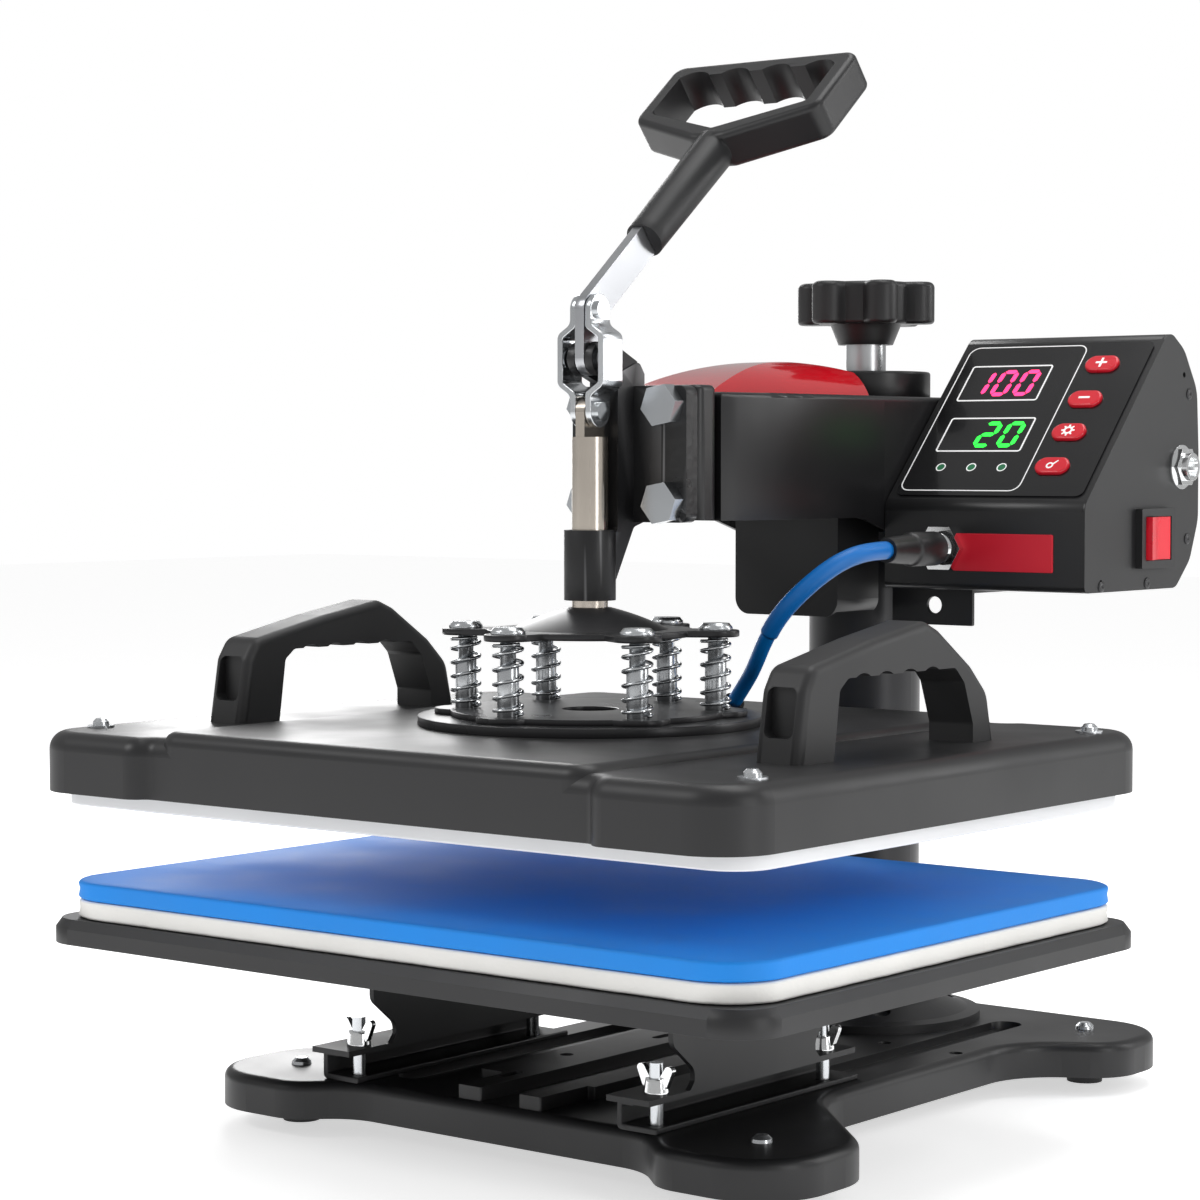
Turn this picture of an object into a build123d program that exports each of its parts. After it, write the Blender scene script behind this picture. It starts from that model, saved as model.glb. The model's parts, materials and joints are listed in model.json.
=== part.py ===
from build123d import *
import math
import os

os.makedirs("parts", exist_ok=True)

# Flat heat press: a heated platen on a swing-away arm above a padded bed.
# Frame: x to the right, y to the back, z up from the table. Places are
# counted from the pressing axis, which stands press_y from the origin.
press_y = -63.0
column_back = 218.0

# clearances
screw_gap = 0.2
run_gap = 0.05
soft_gap = 0.3

# base
foot_height = 9.0
foot_radius = 8.5
front_foot = (130.0, -50.0)
rear_foot = (107.0, 252.0)
foot_screw_radius = 2.0
foot_screw_depth = 5.0
base_thick = 16.5
base_edge = 4.5
base_waist = 99.0
base_front = 66.0
base_back = 283.0
lobe_radius = 33.0
groove_width = 16.0
groove_depth = 4.0
groove_x = 71.0
groove_back = 245.0

# rails, legs and bed
sheet = 2.5
stud_x = 84.0
stud_y = 60.5
stud_radius = 3.0
stud_top = 54.0
rail_inner = 15.0
rail_outer = 6.0
rail_height = 13.0
rail_front = -68.0
rail_back = 80.0
leg_plate_x = 5.0
leg_half = 59.0
leg_waist = 44.0
leg_ear = 75.0
leg_height = 49.5
bar_height = 6.0
bar_back = 150.0
wing_span = 20.0
wing_height = 12.0
tray_width = 393.0
tray_depth = 300.0
tray_thick = 10.9
tray_corner = 20.0
tray_skin = 3.0
pad_width = 380.0
pad_depth = 290.0
pad_corner = 25.0
white_thick = 8.1
blue_thick = 8.0
press_gap = 34.2

# column
column_radius = 27.5
column_wall = 3.0
column_top = 318.0
flange_radius = 58.0
flange_thick = 4.0

# platen
plate_thick = 12.2
plate_corner = 18.0
cover_width = 389.4
cover_depth = 314.3
cover_lap = 6.7
cover_wall = 1.5
strip_height = 26.5
plateau_rise = 3.0
pod_inner = 128.0
pod_step = 6.0
cover_corner = 25.0
cover_edge = 8.0
cover_screw = (180.0, 126.0)
handle_inner = 143.0
handle_width = 22.0
handle_foot_y = 62.0

# spring unit
disc_radius = 76.5
disc_thick = 4.0
lobed_thick = 2.5
post_circle = 56.0
post_angle = 30.0
post_count = 6
post_bolt = 3.5
sleeve_radius = 4.75
sleeve_length = 21.5
spring_length = 32.5
spring_radius = 6.2
wire_radius = 0.8
spring_turns = 6
end_pitch = 2.4
spider_thick = 3.0
spider_hole = 5.0
head_radius = 7.5
head_thick = 3.0

# plunger and toggle
plunger_radius = 8.0
tang_half = 2.5
tang_width = 14.0
pivot_z = 347.3
crank = 21.5
link_length = 45.0
link_thick = 3.0
link_width = 14.0
link_inner = 2.8
link_bulge = 10.0
pin_radius = 3.0
rivet_radius = 5.0
link_head = 4.2
lever_thick = 5.0
lever_width = 15.0
lever_lean = 50.0
sleeve_start = 51.0
sleeve_end = 122.0
grip_half = 53.0
grip_top = 181.0
grip_thick = 19.0
ear_inner = 3.0
ear_outer = 7.0
ear_radius = 7.5
web_half = 8.0
web_front = 9.8
guide_radius = 11.5
guide_bottom = 240.7
guide_top = 271.7
bush_radius = 9.5
toggle_flange_y = 21.0
toggle_flange_thick = 8.0
toggle_flange_left = 27.0
toggle_flange_right = 37.5
bolt_heights = (283.7, 326.8)
bolt_columns = ((-17.5, 13.0), (27.0, 17.0))
bolt_places = [(x, z) for x, flats in bolt_columns for z in bolt_heights]
bolt_radius = 4.0

# arm
nose_left = 32.0
nose_half = 38.0
nose_y = 44.5
nose_bottom = 276.0
nose_top = 336.0
seam = 1.5
arm_bottom = 275.5
arm_rear_bottom = 266.5
arm_top = 333.0
arm_wall = 2.0
hub_radius = 46.3
bush_wall = 5.5
bush_flange = 4.0
core_half = 30.0
dome_front = 55.0
dome_back = 184.0
dome_half = 25.0
dome_height = 16.0
cap_radius = 32.0
cap_height = 13.0
guard_half = 30.0
guard_front = 150.0
guard_back = 185.0
guard_bottom = 228.0

# knob
screw_radius = 8.0
spindle_radius = 10.0
collar_radius = 13.5
collar_bottom = 359.5
knob_bottom = 369.4
knob_thick = 20.8
knob_radius = 34.5

# control box
box_left = 46.8
box_right = 154.8
box_front = 165.0
box_bottom = 242.0
crease_z = 282.0
slope_top = (243.0, 364.0)
box_wall = 1.5
panel_thick = 0.8
button_travel = 0.8
button_rise = 1.8
button_size = (17.5, 10.0)
button_p = 82.0
button_q = (89.6, 66.5, 45.1, 23.3)
button_names = ("plus", "minus", "settings", "confirm")
window_spans = ((11.0, 55.0, 67.0, 90.0), (14.0, 60.0, 33.5, 55.0))
led_p = (21.4, 38.2, 54.8)
led_q = 23.0
switch_y = 228.0
switch_z = 266.0
switch_size = (32.0, 28.0)
rocker_size = (24.0, 20.0)
socket_y = 254.5
socket_z = 299.3
plug_x = 79.3
plug_z = 261.4
plug_length = 48.0
plug_radius = 8.0
bracket_front = 185.0
bracket_inner = 38.0
bracket_outer = 83.0

# cable to the platen heater
cable_radius = 3.5
gland_x = 9.0
gland_y = 93.0
gland_height = 4.5

# heights that follow
base_top = foot_height + base_thick
rail_top = base_top + rail_height
ear_top = rail_top + sheet
tray_bottom = rail_top + leg_height
tray_top = tray_bottom + tray_thick
white_bottom = tray_top + soft_gap
blue_bottom = white_bottom + white_thick + soft_gap
pad_top = blue_bottom + blue_thick
plate_bottom = pad_top + press_gap
plate_top = plate_bottom + plate_thick
cover_bottom = plate_bottom + cover_lap
strip_top = cover_bottom + strip_height
plateau_top = strip_top + plateau_rise
disc_top = plateau_top + disc_thick
lobed_top = disc_top + lobed_thick
spider_bottom = lobed_top + spring_length
spider_top = spider_bottom + spider_thick
dome_top = spider_top + 9.5
head_bottom = spider_top
upper_pin_z = pivot_z + crank
lower_pin_z = upper_pin_z - link_length
hub_bottom = arm_rear_bottom + 1.5
bush_outer = column_radius + run_gap + bush_wall


def level(z):
    """A horizontal plane at a height, centred on the pressing axis."""
    return Plane((0, press_y, z))


def across(x):
    """An upright plane that faces right: y to its right, z up."""
    return Plane((x, press_y, 0), x_dir=(0, 1, 0), z_dir=(1, 0, 0))


def facing(y):
    """An upright plane that faces the front: x to its right, z up."""
    return Plane((0, press_y + y, 0), x_dir=(1, 0, 0), z_dir=(0, -1, 0))


def turned(x, y, outline, mode=Mode.ADD):
    """Turn an outline of (radius, height) points about the upright axis at x, y."""
    with BuildSketch(Plane((x, press_y + y, 0), x_dir=(1, 0, 0), z_dir=(0, -1, 0))) as half:
        with BuildLine():
            Polyline(*outline, close=True)
        make_face()
    revolve(half.sketch, axis=Axis((x, press_y + y, 0), (0, 0, 1)), mode=mode)


def tube(x, y, low, high, radius, bore=0.0, mode=Mode.ADD):
    """An upright round bar or tube at x, y between two heights."""
    with BuildSketch(Plane((x, press_y + y, low))) as ring:
        Circle(radius)
        if bore:
            Circle(bore, mode=Mode.SUBTRACT)
    extrude(ring.sketch, amount=high - low, mode=mode)


def slab(plane, points, radii, thick, mode=Mode.ADD):
    """Extrude a closed outline with rounded corners from a plane."""
    with BuildSketch(plane) as outline:
        with BuildLine():
            FilletPolyline(*points, radius=radii, close=True)
        make_face()
    extrude(outline.sketch, amount=thick, mode=mode)


def cross_bar(plane, centre, radius, thick, mode=Mode.ADD):
    """A round bar or bore square to a plane, from the plane along its normal."""
    with BuildSketch(plane) as round_face:
        with Locations(centre):
            Circle(radius)
    extrude(round_face.sketch, amount=thick, mode=mode)


# base
base_half = [(82, -base_front), (104, -86), (163, -86), (163, -24), (base_waist, 38)]
base_half += [(base_waist, 200), (141, 226), (141, base_back)]
base_radii = [30, 20, lobe_radius, lobe_radius, 40, 40, 25, lobe_radius]
base_points = base_half + [(-x, y) for x, y in reversed(base_half)]
feet = [(s * x, y) for x, y in (front_foot, rear_foot) for s in (-1, 1)]
studs = [(s * stud_x, t * stud_y) for s in (-1, 1) for t in (-1, 1)]
flange_angles = [math.radians(a) for a in (45, 135, 225, 315)]
flange_screws = [(42 * math.cos(a), 42 * math.sin(a)) for a in flange_angles]

with BuildPart() as base_plate:
    slab(level(foot_height), base_points, base_radii + base_radii[::-1], base_thick)
    fillet(base_plate.edges().group_by(Axis.Z)[-1], base_edge)
    for side in (-1, 1):
        with BuildSketch(level(base_top - groove_depth)):
            with Locations((side * groove_x, 100)):
                SlotOverall(2 * (groove_back - 100), groove_width, rotation=90)
        extrude(amount=groove_depth, mode=Mode.SUBTRACT)
    with BuildSketch(level(foot_height)):
        with Locations(*feet):
            Circle(foot_screw_radius + screw_gap)
        with Locations((51.4, 159.8), (91.5, 159.2), (-51.4, 159.8), (-91.5, 159.2)):
            Circle(3.25)
        with Locations(*[(x, y + column_back) for x, y in flange_screws]):
            Circle(3 + screw_gap)
    extrude(amount=base_thick, mode=Mode.SUBTRACT)
    with BuildSketch(level(foot_height + 3)):
        with Locations(*studs):
            Circle(stud_radius + screw_gap)
    extrude(amount=base_thick, mode=Mode.SUBTRACT)
base_plate.part.label = "base_plate"
export_step(base_plate.part, "parts/base_plate.step")

with BuildPart() as rubber_feet:
    for x, y in feet:
        turned(x, y, [(0, 0), (foot_radius, 0), (foot_radius + 0.8, foot_height), (0, foot_height)])
        screw_tip = foot_height - foot_screw_depth
        tube(x, y, screw_tip, foot_height, foot_screw_radius + screw_gap, mode=Mode.SUBTRACT)
rubber_feet.part.label = "rubber_feet"
export_step(rubber_feet.part, "parts/rubber_feet.step")

# rails, legs and the clamp studs
with BuildPart() as rails:
    for side in (-1, 1):
        x0 = side * stud_x
        inner = x0 - rail_inner
        rail_section = [(inner, base_top), (x0 + rail_outer, base_top), (x0 + rail_outer, base_top + sheet)]
        rail_section += [(inner + sheet, base_top + sheet), (inner + sheet, rail_top - sheet)]
        rail_section += [(x0 - rail_outer, rail_top - sheet), (x0 - rail_outer, rail_top), (inner, rail_top)]
        slab(facing(rail_back), rail_section, [2, 0, 0, 1, 1, 0, 0, 2], rail_back - rail_front)
        for y in (-stud_y, stud_y):
            tube(x0, y, base_top, base_top + sheet, stud_radius + screw_gap, mode=Mode.SUBTRACT)
rails.part.label = "rails"
export_step(rails.part, "parts/rails.step")

with BuildPart() as bed_legs:
    for side in (-1, 1):
        x0 = side * stud_x
        inner = x0 - rail_inner
        plate_face = x0 + leg_plate_x
        middle = (inner + plate_face + sheet) / 2
        half_side = [(leg_ear, rail_top), (leg_ear, ear_top), (leg_waist + 3, ear_top)]
        half_side += [(leg_waist, rail_top + 6), (leg_waist, rail_top + 11), (leg_half, rail_top + 23)]
        half_side += [(leg_half, tray_bottom)]
        leg_side = half_side + [(-y, z) for y, z in reversed(half_side)]
        leg_round = [0, 0, 2, 2, 6, 6, 0]
        slab(across(plate_face), leg_side, leg_round + leg_round[::-1], sheet)
        for low, half in ((rail_top, leg_ear), (tray_bottom - sheet, leg_half)):
            with BuildSketch(level(low)):
                with Locations((middle, 0)):
                    Rectangle(plate_face + sheet - inner, 2 * half)
            extrude(amount=sheet)
        for y in (-stud_y, stud_y):
            tube(x0, y, rail_top, ear_top, stud_radius + screw_gap, mode=Mode.SUBTRACT)
        for y in (-45, 45):
            tube(x0 - 4, y, tray_bottom - sheet, tray_bottom, 2.5 + screw_gap, mode=Mode.SUBTRACT)
bed_legs.part.label = "bed_legs"
export_step(bed_legs.part, "parts/bed_legs.step")

with BuildPart() as clamp_studs:
    for x, y in studs:
        tube(x, y, foot_height + 3, stud_top, stud_radius)
clamp_studs.part.label = "clamp_studs"
export_step(clamp_studs.part, "parts/clamp_studs.step")

for name, (x, y) in zip(("front_left", "rear_left", "front_right", "rear_right"), studs):
    with BuildPart() as wing_nut:
        turned(x, y, [(0, ear_top), (5.5, ear_top), (4.6, ear_top + 6.5), (0, ear_top + 6.5)])
        for side in (-1, 1):
            tip_z = ear_top + wing_height
            wing = [(side * 2, ear_top + 2), (side * 6, ear_top + 2.6), (side * wing_span / 2, tip_z)]
            wing += [(side * (wing_span / 2 - 4), tip_z), (side * 2, ear_top + 6)]
            wing = [(x + u, z) for u, z in wing]
            slab(facing(y + 1.3), wing, [0, 1.5, 1.8, 1.8, 0], 2.6)
        tube(x, y, ear_top, ear_top + wing_height, stud_radius + run_gap, mode=Mode.SUBTRACT)
    wing_nut.part.label = f"wing_nut_{name}"
    export_step(wing_nut.part, f"parts/wing_nut_{name}.step")

# centre bars that stiffen the base
with BuildPart() as centre_bars:
    left_bar = [(-24, -62), (-10.5, -62), (-10.5, bar_back), (-40, bar_back), (-40, -30), (-24, -30)]
    slab(level(base_top), left_bar, [1, 1, 1, 1, 3, 3], bar_height)
    right_bar = [(10.5, -62), (23, -62), (23, -30), (27, -30), (27, bar_back), (10.5, bar_back)]
    slab(level(base_top), right_bar, [1, 1, 0.8, 0.8, 1, 1], bar_height)
    with BuildSketch(level(base_top)):
        with Locations((-29, 19)):
            Circle(3.25)
        with Locations((-20, -31), (-22, 82)):
            SlotOverall(14, 5, rotation=90)
    extrude(amount=bar_height, mode=Mode.SUBTRACT)
centre_bars.part.label = "centre_bars"
export_step(centre_bars.part, "parts/centre_bars.step")

# bed: tray with ribs below, screws and two pads
with BuildPart() as bed_tray:
    with BuildSketch(level(tray_bottom)):
        RectangleRounded(tray_width, tray_depth, tray_corner)
    extrude(amount=tray_thick)
    chamfer(bed_tray.edges().group_by(Axis.Z)[-1], 4.0, 3.0)
    with BuildSketch(level(tray_bottom)):
        RectangleRounded(tray_width - 10, tray_depth - 10, tray_corner - 5)
        for side in (-1, 1):
            with Locations((side * stud_x - 4, 0)):
                Rectangle(26, tray_depth - 10, mode=Mode.SUBTRACT)
    extrude(amount=tray_thick - tray_skin, mode=Mode.SUBTRACT)
    for side in (-1, 1):
        for y in (-45, 45):
            tube(side * stud_x - 4, y, tray_bottom, tray_top, 2.5 + screw_gap, mode=Mode.SUBTRACT)
            tube(side * stud_x - 4, y, tray_top - 3.2, tray_top, 4.5 + screw_gap, mode=Mode.SUBTRACT)
bed_tray.part.label = "bed_tray"
export_step(bed_tray.part, "parts/bed_tray.step")

with BuildPart() as white_pad:
    with BuildSketch(level(white_bottom)):
        RectangleRounded(pad_width, pad_depth, pad_corner)
    extrude(amount=white_thick)
white_pad.part.label = "white_pad"
export_step(white_pad.part, "parts/white_pad.step")

with BuildPart() as blue_pad:
    with BuildSketch(level(blue_bottom)):
        RectangleRounded(pad_width, pad_depth, pad_corner)
    extrude(amount=blue_thick)
blue_pad.part.label = "blue_pad"
export_step(blue_pad.part, "parts/blue_pad.step")

# column
flange_top = base_top + flange_thick
with BuildPart() as column_flange:
    bore = column_radius + screw_gap
    skirt = [(bore, base_top), (flange_radius, base_top), (flange_radius, flange_top), (52, flange_top + 1)]
    skirt += [(40, flange_top + 6), (34, flange_top + 9), (bore, flange_top + 9)]
    turned(0, column_back, skirt)
    for x, y in flange_screws:
        tube(x, y + column_back, base_top, flange_top + 9, 3 + screw_gap, mode=Mode.SUBTRACT)
        tube(x, y + column_back, flange_top, flange_top + 9, 5 + screw_gap, mode=Mode.SUBTRACT)
column_flange.part.label = "column_flange"
export_step(column_flange.part, "parts/column_flange.step")

with BuildPart() as base_screws:
    for x, y in feet:
        tube(x, y, foot_height - foot_screw_depth + 1, base_top, foot_screw_radius)
        pan_head = [(0, base_top), (4.6, base_top), (4.3, base_top + 1.4), (2.6, base_top + 3)]
        turned(x, y, pan_head + [(0, base_top + 3.3)])
    for x, y in flange_screws:
        tube(x, y + column_back, foot_height + 2, flange_top, 3)
        tube(x, y + column_back, flange_top, flange_top + 3, 5)
    for side in (-1, 1):
        for y in (-45, 45):
            tube(side * stud_x - 4, y, tray_bottom - sheet - 3, tray_top - 3, 2.5)
            tube(side * stud_x - 4, y, tray_top - 3.2, tray_top - 0.2, 4.5)
base_screws.part.label = "base_screws"
export_step(base_screws.part, "parts/base_screws.step")

with BuildPart() as column_tube:
    tube(0, column_back, base_top, column_top, column_radius, bore=column_radius - column_wall)
column_tube.part.label = "column_tube"
export_step(column_tube.part, "parts/column_tube.step")

nut_bottom = column_top - 30
nut_top = column_top - 10
with BuildPart() as column_nut:
    tube(0, column_back, nut_bottom, nut_top, column_radius - column_wall, bore=screw_radius + run_gap)
column_nut.part.label = "column_nut"
export_step(column_nut.part, "parts/column_nut.step")

# lift bush that slides on the column and carries the arm
head_top = column_top + 8
with BuildPart() as lift_bush:
    sleeve_bore = column_radius + run_gap
    wall = [(sleeve_bore, hub_bottom - bush_flange), (37.5, hub_bottom - bush_flange), (37.5, hub_bottom)]
    wall += [(bush_outer, hub_bottom), (bush_outer, head_top), (screw_radius + 0.1, head_top)]
    wall += [(screw_radius + 0.1, column_top), (sleeve_bore, column_top)]
    turned(0, column_back, wall)
lift_bush.part.label = "lift_bush"
export_step(lift_bush.part, "parts/lift_bush.step")

# height screw and knob
with BuildPart() as height_screw:
    shape = [(0, nut_bottom - 6), (screw_radius, nut_bottom - 6), (screw_radius, head_top)]
    shape += [(spindle_radius, head_top), (spindle_radius, knob_bottom + 6), (0, knob_bottom + 6)]
    turned(0, column_back, shape)
    tube(0, column_back, column_top - 4, column_top - 0.3, screw_radius + 5, bore=screw_radius)
height_screw.part.label = "height_screw"
export_step(height_screw.part, "parts/height_screw.step")

with BuildPart() as height_knob:
    with BuildSketch(Plane((0, press_y + column_back, knob_bottom))):
        Circle(24)
        with PolarLocations(22, 6, start_angle=20):
            SlotOverall(25, 16)
    extrude(amount=knob_thick)
    fillet(height_knob.edges().group_by(Axis.Z)[-1], 3.0)
    fillet(height_knob.edges().group_by(Axis.Z)[0], 2.0)
    cone = [(0, collar_bottom), (collar_radius, collar_bottom)]
    cone += [(collar_radius + 4, knob_bottom), (0, knob_bottom)]
    turned(0, column_back, cone)
    tube(0, column_back, collar_bottom, knob_bottom + 6, spindle_radius, mode=Mode.SUBTRACT)
height_knob.part.label = "height_knob"
export_step(height_knob.part, "parts/height_knob.step")

# platen: heated plate, element, blanket, spacers and the pressed cover
post_places = [(post_circle * math.cos(math.radians(post_angle + 60 * k)),
                post_circle * math.sin(math.radians(post_angle + 60 * k))) for k in range(post_count)]
corner_places = [(s * cover_screw[0], t * cover_screw[1]) for s in (-1, 1) for t in (-1, 1)]
element_radius = 4.0
element_path = [(-60, 110), (-150, 110), (-150, -110), (150, -110), (150, 110), (60, 110)]

with BuildPart() as heater_element:
    with BuildLine(level(plate_top)) as element_line:
        FilletPolyline(*element_path, radius=30)
    with BuildSketch(Plane(element_line.line @ 0, z_dir=element_line.line % 0)):
        Circle(element_radius)
    sweep()
heater_element.part.label = "heater_element"
export_step(heater_element.part, "parts/heater_element.step")

with BuildPart() as heat_plate:
    with BuildSketch(level(plate_bottom)):
        RectangleRounded(pad_width, pad_depth, plate_corner)
    extrude(amount=plate_thick)
    fillet(heat_plate.edges().group_by(Axis.Z)[0], 1.0)
    with BuildLine(level(plate_top)) as groove_line:
        FilletPolyline(*element_path, radius=30)
    with BuildSketch(Plane(groove_line.line @ 0, z_dir=groove_line.line % 0)) as groove_round:
        Circle(element_radius + screw_gap)
    sweep(groove_round.sketch, path=groove_line.line, mode=Mode.SUBTRACT)
    for x, y in post_places:
        tube(x, y, plate_top - 7, plate_top, post_bolt + screw_gap, mode=Mode.SUBTRACT)
    for x, y in corner_places:
        tube(x, y, plate_top - 6, plate_top, 2 + screw_gap, mode=Mode.SUBTRACT)
heat_plate.part.label = "heat_plate"
export_step(heat_plate.part, "parts/heat_plate.step")

blanket_bottom = plate_top + element_radius + soft_gap
with BuildPart() as insulation_blanket:
    with BuildSketch(level(blanket_bottom)):
        RectangleRounded(pad_width - 6, pad_depth - 6, plate_corner)
        with Locations(*post_places, *corner_places):
            Circle(7, mode=Mode.SUBTRACT)
    extrude(amount=6)
insulation_blanket.part.label = "insulation_blanket"
export_step(insulation_blanket.part, "parts/insulation_blanket.step")

half_width = cover_width / 2
half_depth = cover_depth / 2
step_depth = half_depth - pod_step
pod_quarter = [(pod_inner - pod_step, -step_depth), (pod_inner, -half_depth), (half_width, -half_depth)]
cover_right = pod_quarter + [(x, -y) for x, y in reversed(pod_quarter)]
cover_points = cover_right + [(-x, -y) for x, y in cover_right]
cover_radii = [5, 10, cover_corner, cover_corner, 10, 5] * 2

with BuildPart() as cover_block:
    slab(level(cover_bottom), cover_points, cover_radii, strip_height)
    fillet(cover_block.edges().group_by(Axis.Z)[-1], cover_edge)

with BuildPart() as plateau_block:
    with BuildSketch(level(cover_bottom)):
        RectangleRounded(2 * (pod_inner - pod_step - 2), 2 * step_depth, 12)
    extrude(amount=plateau_top - cover_bottom)
    fillet(plateau_block.edges().group_by(Axis.Z)[-1], 6)

with BuildPart() as cover_hollow:
    with BuildSketch(level(cover_bottom)):
        hollow_depth = 2 * (step_depth - cover_wall)
        RectangleRounded(cover_width - 2 * cover_wall, hollow_depth, cover_corner - cover_wall)
    extrude(amount=strip_height - cover_wall)
    fillet(cover_hollow.edges().group_by(Axis.Z)[-1], cover_edge - cover_wall)

with BuildPart() as plateau_hollow:
    with BuildSketch(level(cover_bottom)):
        RectangleRounded(2 * (pod_inner - pod_step - 4), 2 * (step_depth - 2 * cover_wall), 10)
    extrude(amount=plateau_top - cover_wall - cover_bottom)
    fillet(plateau_hollow.edges().group_by(Axis.Z)[-1], 5)

with BuildPart() as platen_cover:
    add(cover_block.part)
    add(plateau_block.part)
    add(cover_hollow.part, mode=Mode.SUBTRACT)
    add(plateau_hollow.part, mode=Mode.SUBTRACT)
    for x, y in post_places:
        tube(x, y, strip_top, plateau_top, post_bolt + screw_gap, mode=Mode.SUBTRACT)
    for x, y in corner_places:
        tube(x, y, strip_top - 8, strip_top, 2 + screw_gap, mode=Mode.SUBTRACT)
    for side in (-1, 1):
        for y in (-handle_foot_y, handle_foot_y):
            x = side * (handle_inner + handle_width / 2)
            tube(x, y, strip_top - 8, strip_top, 2.5 + screw_gap, mode=Mode.SUBTRACT)
platen_cover.part.label = "platen_cover"
export_step(platen_cover.part, "parts/platen_cover.step")

with BuildPart() as platen_fasteners:
    for x, y in post_places:
        tube(x, y, plate_top, plateau_top - cover_wall, 6, bore=post_bolt + screw_gap)
    for x, y in corner_places:
        tube(x, y, plate_top, strip_top - cover_wall, 5, bore=2 + screw_gap)
    for x, y in corner_places:
        tube(x, y, plate_top - 5, strip_top, 2)
        turned(x, y, [(0, strip_top), (6, strip_top), (6, strip_top + 1), (3.8, strip_top + 1),
                      (3.6, strip_top + 2.6), (2.2, strip_top + 4), (0, strip_top + 4.3)])
    for side in (-1, 1):
        for y in (-handle_foot_y, handle_foot_y):
            x = side * (handle_inner + handle_width / 2)
            tube(x, y, strip_top - cover_wall - 3, strip_top - cover_wall, 4.5)
            tube(x, y, strip_top - cover_wall, strip_top + 12, 2.5)
platen_fasteners.part.label = "platen_fasteners"
export_step(platen_fasteners.part, "parts/platen_fasteners.step")

# side handles with finger grooves
grip_outline = [(-75, strip_top), (-70, strip_top + 29), (-64, strip_top + 38), (-19, strip_top + 47)]
grip_outline += [(19, strip_top + 53), (29, strip_top + 49), (54, strip_top + 33)]
grip_outline += [(67, strip_top + 21), (72, strip_top)]
grip_radii = [0, 8, 8, 30, 6, 8, 12, 12, 0]
grip_window = [(-50, strip_top), (-46, strip_top + 28), (-40, strip_top + 32.5), (40, strip_top + 32.5)]
grip_window += [(47, strip_top + 26), (54, strip_top + 8), (54, strip_top)]
with BuildPart() as side_handles:
    for side in (-1, 1):
        left_face = side * (handle_inner + handle_width / 2) - handle_width / 2
        slab(across(left_face), grip_outline, grip_radii, handle_width)
    rims = [e for e in side_handles.edges() if e.center().Z > strip_top + 1 and abs((e % 0.5).X) < 0.5]
    fillet(rims, 4.0)
    for side in (-1, 1):
        left_face = side * (handle_inner + handle_width / 2) - handle_width / 2
        slab(across(left_face), grip_window, [0, 3, 4, 4, 4, 3, 0], handle_width, mode=Mode.SUBTRACT)
        for y in (-29, -12.5, 5, 22):
            cross_bar(across(left_face), (y, strip_top + 24), 10, handle_width, mode=Mode.SUBTRACT)
        with BuildSketch(facing(-76)):
            with Locations((left_face + handle_width / 2, strip_top + 20)):
                RectangleRounded(handle_width - 8, 20, 3)
        extrude(amount=-9, mode=Mode.SUBTRACT)
        for y in (-handle_foot_y, handle_foot_y):
            middle = left_face + handle_width / 2
            tube(middle, y, strip_top, strip_top + 13, 2.5 + screw_gap, mode=Mode.SUBTRACT)
side_handles.part.label = "side_handles"
export_step(side_handles.part, "parts/side_handles.step")

# spring unit between the cover and the plunger
with BuildPart() as spring_disc:
    with BuildSketch(level(plateau_top)):
        Circle(disc_radius)
        with Locations(*post_places):
            Circle(post_bolt + screw_gap, mode=Mode.SUBTRACT)
    extrude(amount=disc_thick)
spring_disc.part.label = "spring_disc"
export_step(spring_disc.part, "parts/spring_disc.step")

with BuildPart() as lobed_plate:
    with BuildSketch(level(disc_top)):
        Circle(62)
        with Locations(*post_places):
            Circle(14)
        with Locations(*post_places):
            Circle(post_bolt + screw_gap, mode=Mode.SUBTRACT)
        Circle(12.4, mode=Mode.SUBTRACT)
    extrude(amount=lobed_thick)
lobed_plate.part.label = "lobed_plate"
export_step(lobed_plate.part, "parts/lobed_plate.step")

with BuildPart() as spring_posts:
    for x, y in post_places:
        tube(x, y, lobed_top, lobed_top + sleeve_length, sleeve_radius, bore=post_bolt + screw_gap)
        tube(x, y, plate_top - 6, head_bottom, post_bolt)
        turned(x, y, [(0, head_bottom), (head_radius, head_bottom), (head_radius, head_bottom + 1.2),
                      (head_radius - 1.5, head_bottom + head_thick), (0, head_bottom + head_thick)])
spring_posts.part.label = "spring_posts"
export_step(spring_posts.part, "parts/spring_posts.step")

# each spring is one wire, wound closer over its first and last turn
wire_rise = spring_length - 2 * wire_radius - 2 * soft_gap
close_turn = 0.5
blend_turn = 1.25
ramp = blend_turn - close_turn
open_turns = spring_turns - blend_turn - close_turn
mid_pitch = (wire_rise - end_pitch * spring_turns) / open_turns + end_pitch


def wire_pitch(turn):
    """Rise per turn: tight at both ends, open between."""
    edge = min(turn, spring_turns - turn)
    share = min(max((edge - close_turn) / ramp, 0), 1)
    return end_pitch + (mid_pitch - end_pitch) * share


def wire_height(turn):
    """Rise of the wire's centre after a number of turns."""
    if turn > spring_turns / 2:
        return wire_rise - wire_height(spring_turns - turn)
    if turn <= close_turn:
        area = 0
    elif turn <= blend_turn:
        area = (turn - close_turn) ** 2 / (2 * ramp)
    else:
        area = ramp / 2 + turn - blend_turn
    return end_pitch * turn + (mid_pitch - end_pitch) * area


def wire_point(x, y, turn):
    """Centre of the wire and its direction after a number of turns."""
    angle = 2 * math.pi * turn
    low = lobed_top + soft_gap + wire_radius
    place = Vector(x + spring_radius * math.cos(angle), press_y + y + spring_radius * math.sin(angle),
                   low + wire_height(turn))
    run = 2 * math.pi * spring_radius
    way = Vector(-run * math.sin(angle), run * math.cos(angle), wire_pitch(turn)).normalized()
    return place, way


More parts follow.
